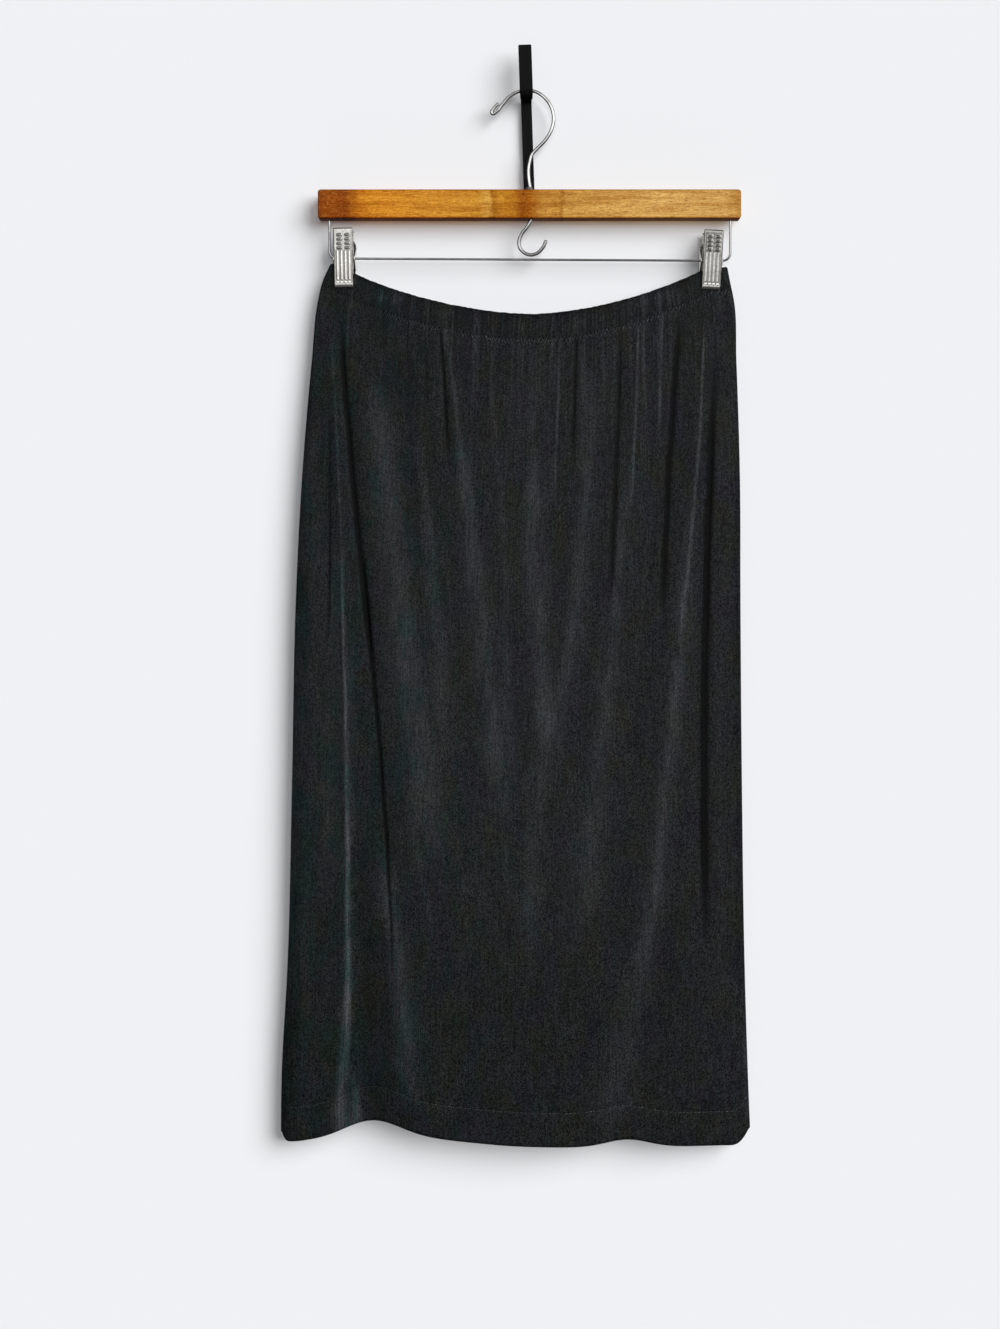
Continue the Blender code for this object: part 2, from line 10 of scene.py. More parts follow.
import bmesh
import bpy
import numpy as np
from mathutils import Euler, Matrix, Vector


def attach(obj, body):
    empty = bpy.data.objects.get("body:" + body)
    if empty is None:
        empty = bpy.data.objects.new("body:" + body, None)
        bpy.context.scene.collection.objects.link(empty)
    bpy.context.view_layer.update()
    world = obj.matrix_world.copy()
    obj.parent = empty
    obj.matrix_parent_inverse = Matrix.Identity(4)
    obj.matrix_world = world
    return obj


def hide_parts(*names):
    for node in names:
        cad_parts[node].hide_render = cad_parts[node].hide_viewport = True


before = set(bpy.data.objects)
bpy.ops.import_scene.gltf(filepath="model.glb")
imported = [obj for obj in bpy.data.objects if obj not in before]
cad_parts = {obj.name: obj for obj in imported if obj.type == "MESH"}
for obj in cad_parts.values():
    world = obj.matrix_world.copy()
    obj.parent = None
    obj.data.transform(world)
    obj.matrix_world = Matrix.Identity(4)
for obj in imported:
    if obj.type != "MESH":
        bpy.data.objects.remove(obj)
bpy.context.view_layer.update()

# ---- Wall hook --------------------------------------------------------------------------------
# One flat strip of mild steel, bent out from the wall as a shelf and up as a wider prong, its cut
# edges rounded by tumbling, then sprayed satin black, with a few spots rubbed brown.
MM = 0.001
STRIP_THICK = 5 * MM
STRIP_PLATE_WIDTH = 9 * MM
STRIP_PRONG_WIDTH = 11 * MM
STRIP_REACH = 22.5 * MM
STRIP_BEND = 5 * MM
STRIP_PLATE_LOW = -50 * MM
STRIP_SHELF_TOP = 51 * MM
STRIP_PRONG_TOP = 90 * MM
STRIP_LEAN = math.radians(1.9)
STRIP_EDGE = 0.9 * MM


def unit(vectors):
    """Vectors divided by their own lengths."""
    return vectors / np.linalg.norm(vectors, axis=-1, keepdims=True)


def arc(centre, radius, start, end, steps):
    """Points centre + radius * (cos, sin) of angles in equal steps, in degrees."""
    turn = np.radians(np.linspace(start, end, steps + 1))
    return np.column_stack([centre[0] + radius * np.cos(turn), centre[1] + radius * np.sin(turn)])


def run_of(path):
    """Length of a line from its start up to each of its points."""
    return np.append(0, np.cumsum(np.linalg.norm(np.diff(path, axis=0), axis=1)))


def evenly(path, spacing):
    """The same line with points at equal steps of its own length."""
    run = run_of(path)
    steps = np.linspace(0, run[-1], max(2, round(run[-1] / spacing)) + 1)
    return np.column_stack([np.interp(steps, run, column) for column in path.T])


def round_ends(path, radius, steps=5):
    """A line with rings closing in at both ends: at radius * (1 - cos a) from the tip, drawn in by
    radius * (1 - sin a), as a ball's section is. Returns the points and how far each is drawn in."""
    turn = np.linspace(0.12, np.pi / 2, steps)[:, None]
    inset = radius * (1 - np.sin(turn))
    ends = []
    for tip, inner in ((path[0], path[1]), (path[-1], path[-2])):
        ends.append(tip + unit(inner - tip) * radius * (1 - np.cos(turn)))
    from_tips = np.minimum(
        np.linalg.norm(path - path[0], axis=1), np.linalg.norm(path - path[-1], axis=1)
    )
    kept = path[from_tips > 1.1 * radius]
    line = np.vstack([ends[0], kept, ends[1][::-1]])
    return line, np.concatenate([inset[:, 0], np.zeros(len(kept)), inset[::-1, 0]])


def box_section(width, height, corner, steps=5):
    """A rectangle with round corners for each ring: the corner's middle plus its radius, turned."""
    width, height, corner = (np.atleast_1d(v).astype(float) for v in (width, height, corner))
    turn = np.radians(np.linspace(0, 90, steps + 1)[None] + np.array([[0], [90], [180], [270]]))
    side, top = np.array([[1], [-1], [-1], [1]]), np.array([[1], [1], [-1], [-1]])
    corner = corner[:, None, None]
    x = side * (width[:, None, None] / 2 - corner) + corner * np.cos(turn)
    y = top * (height[:, None, None] / 2 - corner) + corner * np.sin(turn)
    return np.stack([x, y], axis=-1).reshape(len(x), -1, 2)


def carried(path, facing, section):
    """A section carried along a path: each point is path + a * side + b * out, where side is square
    to the path's run and to facing, and out is square to both."""
    run = unit(np.gradient(path, axis=-2))
    side = unit(np.cross(run, facing))
    out = np.cross(side, run)
    return path[..., None, :] + section[..., :1] * side[..., None, :] + section[..., 1:] * out[..., None, :]


def put(name, data):
    """An object of the scene for a mesh, a light or a camera."""
    made = bpy.data.objects.new(name, data)
    bpy.context.scene.collection.objects.link(made)
    return made


def mesh_piece(name, points, faces, finish, sharp=40):
    """A piece from points and faces, turned so that the space it closes in is positive."""
    mesh = bpy.data.meshes.new(name)
    mesh.from_pydata(points.tolist(), [], faces)
    work = bmesh.new()
    work.from_mesh(mesh)
    if work.calc_volume(signed=True) < 0:
        bmesh.ops.reverse_faces(work, faces=work.faces)
    work.to_mesh(mesh)
    work.free()
    mesh.shade_smooth()
    mesh.set_sharp_from_angle(angle=math.radians(sharp))
    mesh.materials.append(finish.material)
    return put(name, mesh)


def skin(name, rings, finish, sharp=40, closed=False):
    """A closed skin over rings of points: quads from ring to ring, and one face over each end or, if
    closed, quads back to the first ring. Several bodies' rings may be stacked in front."""
    rings = rings.reshape(-1, *rings.shape[-3:])
    index = np.arange(rings[..., 0].size).reshape(rings.shape[:3])
    turned = np.roll(index, -1, axis=2)
    quads = np.stack([index, turned, np.roll(turned, -1, axis=1), np.roll(index, -1, axis=1)], axis=-1)
    ends = []
    if not closed:
        quads = quads[:, :-1]
        ends = index[:, 0, ::-1].tolist() + index[:, -1].tolist()
    return mesh_piece(name, rings.reshape(-1, 3), quads.reshape(-1, 4).tolist() + ends, finish, sharp)


class Nodes:
    """A tree of nodes, and short ways to add and join them."""

    def __init__(self, tree):
        self.tree = tree

    def give(self, node, inputs):
        """A node's inputs, each a plain value or another node's output."""
        for key, value in inputs.items():
            if isinstance(value, bpy.types.NodeSocket):
                self.tree.links.new(value, node.inputs[key])
            else:
                node.inputs[key].default_value = value

    def add(self, kind, inputs=None, **settings):
        """A new node with its settings and inputs."""
        node = self.tree.nodes.new("ShaderNode" + kind)
        for key, value in settings.items():
            setattr(node, key, value)
        self.give(node, inputs or {})
        return node

    def remap(self, value, start, end, low=0, high=1):
        """A number that runs from low to high while a value runs from start to end."""
        inputs = {"Value": value, "From Min": start, "From Max": end, "To Min": low, "To Max": high}
        return self.add("MapRange", inputs).outputs[0]

    def ramp(self, value, stops):
        """Colours or greys at the given places of a value, with straight steps between."""
        node = self.add("ValToRGB", {"Fac": value})
        rows = node.color_ramp.elements
        while len(rows) < len(stops):
            rows.new(0.5)
        for row, (place, colour) in zip(rows, stops):
            row.position = place
            row.color = (*(colour if isinstance(colour, tuple) else (colour,) * 3), 1)
        return node.outputs["Color"]

    def mix(self, share, first, second, blend="MIX"):
        """Two colours mixed by a share."""
        inputs = {0: share}
        for socket, value in ((6, first), (7, second)):
            inputs[socket] = value if isinstance(value, bpy.types.NodeSocket) else (*value, 1)
        return self.add("Mix", inputs, data_type="RGBA", blend_type=blend).outputs[2]

    def times(self, product, *colours):
        """Colours multiplied by each other."""
        for colour in colours:
            product = self.mix(1, product, colour, "MULTIPLY")
        return product

    def math(self, operation, first, second):
        """One sum of two numbers or outputs."""
        return self.add("Math", {0: first, 1: second}, operation=operation).outputs["Value"]


class Finish(Nodes):
    """A named material with a Principled shader, and patterns that lie on the object."""

    def __init__(self, name, colour, roughness, metallic=0, specular=0.5):
        self.material = bpy.data.materials.new(name)
        self.material.use_nodes = True
        self.material.diffuse_color = (*colour, 1)
        super().__init__(self.material.node_tree)
        self.set(Base_Color=(*colour, 1), Roughness=roughness, Metallic=metallic)
        self.set(Specular_IOR_Level=specular)

    def set(self, **sockets):
        """The shader's own inputs, each a plain value or a node's output."""
        shader = self.tree.nodes["Principled BSDF"]
        self.give(shader, {name.replace("_", " "): value for name, value in sockets.items()})

    def place(self, size, source="Object"):
        """Coordinates divided by a pattern's size in metres along each axis."""
        if source == "Object":
            start = self.add("TexCoord").outputs["Object"]
        else:
            start = self.add("UVMap", uv_map=source).outputs["UV"]
        scale = tuple(1 / v for v in size)
        return self.add("Mapping", {"Vector": start, "Scale": scale}).outputs["Vector"]

    def noise(self, size, detail=3, roughness=0.5, source="Object", distortion=0):
        """Soft random values from 0 to 1, stretched to a size in metres along each axis."""
        inputs = {"Vector": self.place(size, source), "Scale": 1, "Detail": detail}
        inputs.update({"Roughness": roughness, "Distortion": distortion})
        return self.add("TexNoise", inputs).outputs["Fac"]

    def along(self, axis, start, end, low=0, high=1):
        """A number that runs from low to high between two places on one axis of the object."""
        where = self.add("SeparateXYZ", {"Vector": self.add("TexCoord").outputs["Object"]})
        return self.remap(where.outputs[axis], start, end, low, high)

    def bump(self, height, distance, strength=1, under=None):
        """Relief of a height from 0 to 1, as deep as distance in metres, over relief under it."""
        inputs = {"Height": height, "Distance": distance, "Strength": strength}
        if under is not None:
            inputs["Normal"] = under
        return self.add("Bump", inputs).outputs["Normal"]


BLACK, RUBBED_BROWN = (0.003, 0.003, 0.0033), (0.012, 0.008, 0.006)
black_steel = Finish("satin_black_steel", BLACK, roughness=0.42, specular=0.05)
spray = black_steel.noise((0.0012, 0.0012, 0.0012), detail=2)
dulled = black_steel.noise((0.02, 0.02, 0.006))
rubbed = black_steel.ramp(black_steel.noise((0.004, 0.004, 0.002), detail=4), [(0.62, 0), (0.78, 1)])
black_steel.set(
    Base_Color=black_steel.mix(rubbed, BLACK, RUBBED_BROWN),
    Roughness=black_steel.ramp(dulled, [(0.3, 0.36), (0.7, 0.52)]),
    Normal=black_steel.bump(spray, 0.00006, 0.5),
)

strip_back = -STRIP_THICK / 2
strip_front = -STRIP_REACH + STRIP_THICK / 2
strip_shelf = STRIP_SHELF_TOP - STRIP_THICK / 2
strip_line = evenly(
    np.vstack([
        [(strip_back, STRIP_PLATE_LOW)],
        arc((strip_back - STRIP_BEND, strip_shelf - STRIP_BEND), STRIP_BEND, 0, 90, 16),
        arc((strip_front + STRIP_BEND, strip_shelf + STRIP_BEND), STRIP_BEND, 270, 180, 16),
        [(strip_front, STRIP_PRONG_TOP)],
    ]),
    spacing=1 * MM,
)
strip_path, strip_inset = round_ends(strip_line, STRIP_EDGE)
strip_forward = (strip_path[:, 0] - strip_back) / (strip_front - strip_back)
strip_width = STRIP_PLATE_WIDTH + (STRIP_PRONG_WIDTH - STRIP_PLATE_WIDTH) * strip_forward
strip_section = box_section(
    strip_width - 2 * strip_inset, STRIP_THICK - 2 * strip_inset, STRIP_EDGE - 0.8 * strip_inset, 4
)
strip_path = np.column_stack([0 * strip_inset, strip_path])
strip_rings = carried(strip_path, np.cross(unit(np.gradient(strip_path, axis=0)), (1, 0, 0)), strip_section)
strip_turn = np.array(Euler((0, -STRIP_LEAN, 0)).to_matrix())
wall_hook = skin("wall_hook_strip", strip_rings @ strip_turn.T, black_steel)
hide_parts("wall_hook")
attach(wall_hook, "root")

# ---- Hanger's hook ----------------------------------------------------------------------------
# One polished steel wire: its end bent back on itself, a round loop that hangs on the shelf, a stem
# that runs down through the bar, and a small hook below for another hanger.
HANGER_X = 1 * MM
HANGER_Y = -13.5 * MM
HOOK_RADIUS = 1.5 * MM
HOOK_PLACES = (
    # the wire's middle line from its doubled-back end, over the loop and down to the stem (mm)
    (-24.6, 43.1), (-29.5, 37.7), (-30.9, 35.5), (-29.9, 33.9), (-27.6, 35), (-21.6, 41.9),
    (-15.8, 48.4), (-9.4, 52.3), (-1.6, 53.7), (7.2, 52.2), (14.1, 47.3), (18.6, 41.2), (21.2, 33.4),
    (21.2, 26.6), (18.8, 18.8), (14, 11.2), (7.6, 4.6), (2.8, -1), (1, -7.4),
    # and below the bar, round the small hook to its tip (mm)
    (1, -58), (-1.3, -62), (-5.2, -66.9), (-7.6, -72.6), (-7.2, -78.6), (-3.4, -83.2), (2.4, -85.1),
    (8, -83.4), (12.2, -79), (15.4, -72.4),
)


def smooth(at, places, values):
    """A curve through values at rising places: cubic pieces whose slopes come from the neighbours."""
    slopes = np.gradient(values, places)
    i = np.clip(np.searchsorted(places, at) - 1, 0, len(places) - 2)
    length = places[i + 1] - places[i]
    t = np.clip((at - places[i]) / length, 0, 1)
    return (
        (2 * t**3 - 3 * t**2 + 1) * values[i]
        + (t**3 - 2 * t**2 + t) * length * slopes[i]
        + (3 * t**2 - 2 * t**3) * values[i + 1]
        + (t**3 - t**2) * length * slopes[i + 1]
    )


def curve_through(places, spacing):
    """A smooth line through places, with points at even steps of the straight way between them."""
    run = run_of(places)
    at = np.linspace(0, run[-1], round(run[-1] / spacing) + 1)
    return np.column_stack([smooth(at, run, column) for column in places.T])


def ring_section(radius, sides=16):
    """A circle of sides for each ring: radius * (cos, sin)."""
    turn = np.arange(sides) * 2 * np.pi / sides
    return np.atleast_1d(radius)[:, None, None] * np.column_stack([np.cos(turn), np.sin(turn)])


def wire_rings(flat_line, radius, sides=16):
    """Round wire along a line (x, z) in the hanger's plane, with rounded ends."""
    line, inset = round_ends(flat_line, radius)
    path = np.column_stack([line[:, 0], np.full(len(line), HANGER_Y), line[:, 1]])
    return carried(path, (0, 1, 0), ring_section(radius - inset, sides))


chrome = Finish("polished_steel_wire", (0.6, 0.6, 0.595), roughness=0.13, metallic=1)
scuffs = chrome.noise((0.004, 0.004, 0.006))
plating = chrome.noise((0.006, 0.006, 0.012))
plating = chrome.ramp(plating, [(0.3, (0.3, 0.295, 0.285)), (0.7, (0.46, 0.46, 0.46))])
# painted shade: the wire's colour is made darker below the bar, which shades it
painted_shade_below_bar = chrome.along("Z", -0.045, -0.06, 0, 0.8)
chrome.set(
    Base_Color=chrome.mix(painted_shade_below_bar, plating, (0.6, 0.6, 0.6), "MULTIPLY"),
    Roughness=chrome.ramp(scuffs, [(0.35, 0.1), (0.75, 0.18)]),
)

hook_line = curve_through(np.array(HOOK_PLACES) * MM, spacing=0.7 * MM)
hook = skin("hanger_hook_wire", wire_rings(hook_line, HOOK_RADIUS, sides=18), chrome, sharp=60)
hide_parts("hanger_hook")
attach(hook, "root")

# ---- Hook's collar ----------------------------------------------------------------------------
# A small ring turned from steel and polished like the wire, pushed over the stem and pressed on to
# the top of the bar where the stem goes in.
BAR_TOP = -31.1 * MM
COLLAR_SIDES = 40
COLLAR_PROFILE = (
    # radius and height above the bar (mm)
    (1.62, 0.35), (2.55, 0.3), (2.7, 0.45), (2.7, 1), (2.45, 1.3), (2.3, 2.5), (2.1, 3.1), (1.75, 3.25),
    (1.62, 3.1),
)
collar_radius, collar_height = np.array(COLLAR_PROFILE).T * MM
collar_turn = np.arange(COLLAR_SIDES)[:, None] * 2 * np.pi / COLLAR_SIDES
collar_rings = np.stack(
    [
        HANGER_X + collar_radius * np.cos(collar_turn),
        HANGER_Y + collar_radius * np.sin(collar_turn),
        BAR_TOP + collar_height + 0 * collar_turn,
    ],
    axis=-1,
)
collar = skin("hook_collar_ring", collar_rings, chrome, closed=True)
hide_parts("hook_collar")
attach(collar, "root")

# ---- Hanger's bar -----------------------------------------------------------------------------
# Straight bar of a close-grained hardwood, its corners rounded and its edges eased with sandpaper,
# stained unevenly from dark brown at the left end to honey at the right, and satin varnished.
BAR_LENGTH = 356 * MM
BAR_HEIGHT = 24.4 * MM
BAR_DEPTH = 14 * MM
BAR_CORNER = 2.6 * MM
BAR_EDGE = 1.3 * MM
BAR_RIM = 0.8 * MM

wood = Finish("stained_hardwood", (0.52, 0.24, 0.06), roughness=0.4, specular=0.08)
bar_left = HANGER_X - BAR_LENGTH / 2
wander = wood.noise((0.009, 0.02, 0.006), detail=5, roughness=0.65)
pores = wood.noise((0.0065, 0.0012, 0.0007), detail=4, roughness=0.7)
figure = wood.noise((0.045, 0.006, 0.0035), detail=5, roughness=0.6, distortion=0.6)
mottle = wood.noise((0.0022, 0.002, 0.0013), detail=5, roughness=0.75)
reach = wood.along("X", bar_left, bar_left + BAR_LENGTH)
reach = wood.math("ADD", reach, wood.math("MULTIPLY", wood.math("SUBTRACT", wander, 0.5), 0.045))
stain = wood.ramp(
    reach,
    [
        (0, (0.27, 0.07, 0.008)), (0.03, (0.36, 0.1, 0.012)), (0.066, (0.27, 0.062, 0.006)),
        (0.1, (0.62, 0.23, 0.018)), (0.125, (0.76, 0.32, 0.03)), (0.24, (0.7, 0.31, 0.036)),
        (0.38, (0.68, 0.33, 0.044)), (0.403, (0.78, 0.45, 0.1)), (0.412, (0.44, 0.17, 0.015)),
        (0.43, (0.62, 0.29, 0.032)), (0.466, (0.54, 0.22, 0.02)), (0.485, (0.34, 0.1, 0.008)),
        (0.503, (0.44, 0.15, 0.012)), (0.53, (0.6, 0.3, 0.06)), (0.57, (0.6, 0.31, 0.06)),
        (0.576, (0.42, 0.18, 0.025)), (0.585, (0.66, 0.37, 0.09)), (0.8, (0.76, 0.47, 0.15)),
        (0.96, (0.72, 0.44, 0.14)), (1, (0.55, 0.3, 0.075)),
    ],
)
# darker at the very top edge, and painted shade along the lower edge and on the underside, which face away
# from the light
edges = wood.ramp(
    wood.along("Z", BAR_TOP, BAR_TOP - BAR_HEIGHT),
    [
        (0, (0.45, 0.32, 0.2)), (0.05, (0.9, 0.84, 0.74)), (0.09, 1), (0.93, 1),
        (0.965, (0.85, 0.7, 0.5)), (0.985, (0.5, 0.3, 0.14)), (1, (0.42, 0.22, 0.06)),
    ],
)
stain = wood.times(
    stain,
    wood.ramp(figure, [(0.38, 1), (0.64, (0.7, 0.58, 0.42))]),
    edges,
    wood.ramp(pores, [(0.32, (0.42, 0.3, 0.18)), (0.5, 1)]),
    wood.ramp(mottle, [(0.3, (0.72, 0.62, 0.48)), (0.58, 1)]),
)
wood.set(
    Base_Color=wood.mix(wood.ramp(mottle, [(0.56, 0), (0.75, 0.35)]), stain, (1, 0.62, 0.16)),
    Roughness=wood.ramp(figure, [(0.3, 0.42), (0.7, 0.55)]),
    Normal=wood.bump(pores, 0.00012, 0.6),
)

bar_turn = np.linspace(0, np.pi / 2, 7)
bar_end = np.column_stack([BAR_EDGE * (1 - np.cos(bar_turn)), BAR_EDGE * (1 - np.sin(bar_turn))])
bar_profile = np.vstack([[(0, BAR_EDGE + BAR_RIM)], bar_end, bar_end[::-1] * (-1, 1) + (BAR_DEPTH, 0)])
bar_profile = np.vstack([bar_profile, [(BAR_DEPTH, BAR_EDGE + BAR_RIM)]])
bar_outline = box_section(
    BAR_LENGTH - 2 * bar_profile[:, 1],
    BAR_HEIGHT - 2 * bar_profile[:, 1],
    BAR_CORNER - np.minimum(bar_profile[:, 1], BAR_EDGE),
    8,
)
bar_rings = np.stack(
    [
        HANGER_X + bar_outline[..., 0],
        HANGER_Y - BAR_DEPTH / 2 + bar_profile[:, :1] + 0 * bar_outline[..., 0],
        BAR_TOP - BAR_HEIGHT / 2 + bar_outline[..., 1],
    ],
    axis=-1,
)
bar = skin("hanger_bar_wood", bar_rings, wood, sharp=50)
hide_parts("hanger_bar")
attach(bar, "root")

# ---- Clip rail --------------------------------------------------------------------------------
# Thinner polished steel wire below the bar, which the clips ride on, with both ends bent up and glued
# into the bar's underside.
RAIL_RADIUS = 1 * MM
RAIL_LEFT = (-167.6 * MM, -88.1 * MM)
RAIL_RIGHT = (170.4 * MM, -90 * MM)
RAIL_BEND = 6.5 * MM
RAIL_TOP = BAR_TOP - BAR_HEIGHT + 8 * MM
rail_line = np.vstack([
    [(RAIL_LEFT[0], RAIL_TOP)],
    arc((RAIL_LEFT[0] + RAIL_BEND, RAIL_LEFT[1] + RAIL_BEND), RAIL_BEND, 180, 270, 12),
    arc((RAIL_RIGHT[0] - RAIL_BEND, RAIL_RIGHT[1] + RAIL_BEND), RAIL_BEND, 270, 360, 12),
    [(RAIL_RIGHT[0], RAIL_TOP)],
])
rail_rings = wire_rings(evenly(rail_line, spacing=0.9 * MM), RAIL_RADIUS, sides=12)
rail = skin("clip_rail_wire", rail_rings, chrome, sharp=60)
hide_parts("clip_rail")
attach(rail, "root")

# ---- Clips ------------------------------------------------------------------------------------
# Two jaws pressed from nickel-plated sheet, each with its sides folded back as flanges that ride on
# the rail. The fingers press the pimpled ends, the ribbed ends hold the cloth, and a wound spring
# round the rail keeps them shut.
CLIPS = {
    "left": {"x": -155 * MM, "turn": -5, "lean": 0},
    "right": {"x": 154.4 * MM, "turn": 5, "lean": 2},
}
JAW_WIDTH = 16.5 * MM
JAW_SHEET = 0.9 * MM
JAW_CORNER = 1.3 * MM
JAW_PROFILE = (
    # height from the rail, face from the clip's middle plane, depth of the side flanges (mm)
    (24.3, 8.9, 1.6), (23.4, 9.7, 1.8), (22, 9.75, 1.9), (10, 8.2, 2.9), (5, 7.55, 6.5),
    (1.5, 7.15, 9.6), (-1.5, 6.85, 9.4), (-5, 6.5, 6.2), (-10, 6, 2.6), (-18, 4.95, 1.1),
    (-23.4, 4.45, 0.6), (-24.6, 3.9, 0.4),
)
RIB_PITCH, RIB_HIGH = 3.35 * MM, 0.6 * MM
RIB_TOP, RIB_LOW = 5.6 * MM, -19.2 * MM
PIMPLE_ROWS = (18.4 * MM, 14.8 * MM, 11.3 * MM, 7.8 * MM)
PIMPLE_COLUMNS = (-3.1 * MM, 3.7 * MM)
PIMPLE_HALF = (2.3 * MM, 1.3 * MM)
PIMPLE_HIGH = 0.62 * MM
DOT_ROW, DOT_HALF, DOT_HIGH = -20.6 * MM, 0.95 * MM, 0.5 * MM
LIP_ROW, LIP_HALF, LIP_HIGH, LIP_PITCH = -22.4 * MM, 0.7 * MM, 0.28 * MM, 1.1 * MM
BACK_WIDER, BACK_TAPER, BACK_TAPER_RUN = 1 * MM, 2.4 * MM, (11 * MM, 17 * MM)
SPRING_TURNS, SPRING_HALF = 7, 3.6 * MM
SPRING_RADIUS, SPRING_WIRE, SPRING_LEG = 2.45 * MM, 0.4 * MM, (1.6 * MM, 7.5 * MM)

nickel = Finish("nickel_plated_sheet", (0.72, 0.71, 0.68), roughness=0.3, metallic=1)
brushed = nickel.noise((0.0006, 0.004, 0.004))
dirt = nickel.noise((0.0018, 0.0018, 0.0026), detail=4, roughness=0.65)
# the jaws' painted light, kept per point: painted shade in the hollows, on the domes' upper halves and on the
# jaws' inner sides, and painted highlights where it is above 1, on the domes and dots
pressed = nickel.add("Attribute", attribute_name="pressed").outputs["Fac"]
painted_highlight = nickel.ramp(nickel.math("SUBTRACT", pressed, 1), [(0.1, 0), (0.5, 1)])
plated = nickel.ramp(
    dirt, [(0.3, (0.3, 0.29, 0.262)), (0.5, (0.43, 0.42, 0.4)), (0.8, (0.5, 0.495, 0.48))]
)
# painted shade: a dark colour mixed in where the value is low
plated = nickel.mix(nickel.ramp(pressed, [(0.12, 0.85), (0.5, 0)]), plated, (0.1, 0.096, 0.085))
# painted highlight: a bright colour mixed in where the value is above 1
plated = nickel.mix(painted_highlight, plated, (0.95, 0.94, 0.91))
nickel.set(
    # painted shade: the clip on the right is made darker than the one on the left
    Base_Color=nickel.mix(nickel.along("X", -0.1, 0.1), plated, (0.78, 0.78, 0.78), "MULTIPLY"),
    Roughness=nickel.ramp(brushed, [(0.3, 0.22), (0.7, 0.34)]),
    Normal=nickel.bump(dirt, 0.00005, 0.5),
)


def soft_step(start, end, value):
    """0 before start, 1 after end, with a soft S between; start may be the larger."""
    share = np.clip((value - start) / (end - start), 0, 1)
    return share * share * (3 - 2 * share)


def bell(off, half):
    """1 in the middle, dying away on both sides: e to the power of -(off / half) squared."""
    return np.exp(-((off / half) ** 2))


def pressed_relief(x, z):
    """Height pressed into a jaw's face: ribs as a raised cosine across, flattened domes in two
    columns, a row of round dots and a folded lip, each faded at its ends. Also a painted lightness:
    darker in the hollows between the ribs, 1 on the ribs, lighter between the domes, painted shade on
    the domes' upper halves, and painted highlights on the domes' lower right, on the dots and a little
    on the lip."""
    ribs = np.cos(np.pi * x / RIB_PITCH * 2 + np.pi) * 0.5 + 0.5
    run = soft_step(RIB_LOW - 0.4 * MM, RIB_LOW + 0.8 * MM, z)
    run = run * soft_step(RIB_TOP + 0.5 * MM, RIB_TOP - 0.8 * MM, z)
    inside = soft_step(JAW_WIDTH / 2 - 0.5 * MM, JAW_WIDTH / 2 - 1.4 * MM, np.abs(x))
    relief = RIB_HIGH * ribs**1.4 * run * inside
    # darker in the hollows between the ribs, lighter on the ribs and between the domes
    painted_lightness = 0.17 + 0.83 * relief / RIB_HIGH + 0.16 * soft_step(RIB_TOP, RIB_TOP + 1 * MM, z)
    for row in PIMPLE_ROWS:
        for column in PIMPLE_COLUMNS:
            across, up = (x - column) / PIMPLE_HALF[0], (z - row) / PIMPLE_HALF[1]
            relief = relief + PIMPLE_HIGH * np.exp(-1.2 * (across**4 + up**2) ** 1.3)
            # painted shade on each dome's upper half
            painted_lightness = painted_lightness - 0.4 * np.exp(-2 * ((across + 0.15) ** 2 + (up - 0.25) ** 2) ** 1.5)
            # painted highlight on each dome's lower right
            painted_lightness = painted_lightness + 1.3 * np.exp(-9 * (across - 0.7) ** 2 - 7 * (up + 0.6) ** 2)
    for column in (np.arange(4) - 1.5) * RIB_PITCH:
        dot = np.exp(-((((x - column) ** 2 + (z - DOT_ROW) ** 2) / DOT_HALF**2) ** 1.5))
        # painted highlight on each dot
        relief, painted_lightness = relief + DOT_HIGH * dot, painted_lightness + 1.8 * dot
    lip = bell(z - LIP_ROW, LIP_HALF) * inside
    teeth = 0.7 + 0.3 * np.cos(2 * np.pi * x / LIP_PITCH)
    return relief + LIP_HIGH * lip * teeth, painted_lightness + 0.3 * lip


def sheet_wall(grid, wall, outward, bulge):
    """A closed wall over a grid: the grid's points, the same moved against outward by the wall, and
    a rounded rim of points pushed out from the edge by a share of the wall. Returns the points,
    which start with the grid's own, the quads, and the grid points along the rim."""
    rows, columns = grid.shape[:2]
    inner = grid - outward * wall
    index = np.arange(rows * columns).reshape(rows, columns)
    quads = np.stack([index[:-1, :-1], index[1:, :-1], index[1:, 1:], index[:-1, 1:]], axis=-1).reshape(-1, 4)
    rim = np.concatenate([index[0, :-1], index[:-1, -1], index[-1, :0:-1], index[:0:-1, 0]])
    behind = np.concatenate([index[1, :-1], index[:-1, -2], index[-2, :0:-1], index[:0:-1, 1]])
    flat, under = grid.reshape(-1, 3), inner.reshape(-1, 3)
    middle = (flat[rim] + under[rim]) / 2
    thick = np.linalg.norm(flat[rim] - under[rim], axis=1, keepdims=True)
    middle = middle + unit(flat[rim] - flat[behind] + 1e-9) * thick * bulge
    count = rows * columns
    loop = 2 * count + np.arange(len(rim))
    after, rim_after = np.roll(loop, -1), np.roll(rim, -1)
    edge = np.vstack([
        np.column_stack([rim, rim_after, after, loop]),
        np.column_stack([loop, after, rim_after + count, rim + count]),
    ])
    return np.vstack([flat, under, middle]), np.vstack([quads, quads[:, ::-1] + count, edge]), rim


def outward_of(grid, side):
    """Normals of a grid: its steps across crossed with its steps down, times a side."""
    return unit(np.cross(np.gradient(grid, axis=1), np.gradient(grid, axis=0)) * side)


def keep_value(piece, name, rest, grid=np.zeros(0)):
    """A number for each point of a piece, which its finish reads by name: a grid's numbers for the
    first points and one number for the rest."""
    values = np.full(len(piece.data.vertices), rest, float)
    values[: grid.size] = grid.ravel()
    piece.data.attributes.new(name, "FLOAT", "POINT").data.foreach_set("value", values)


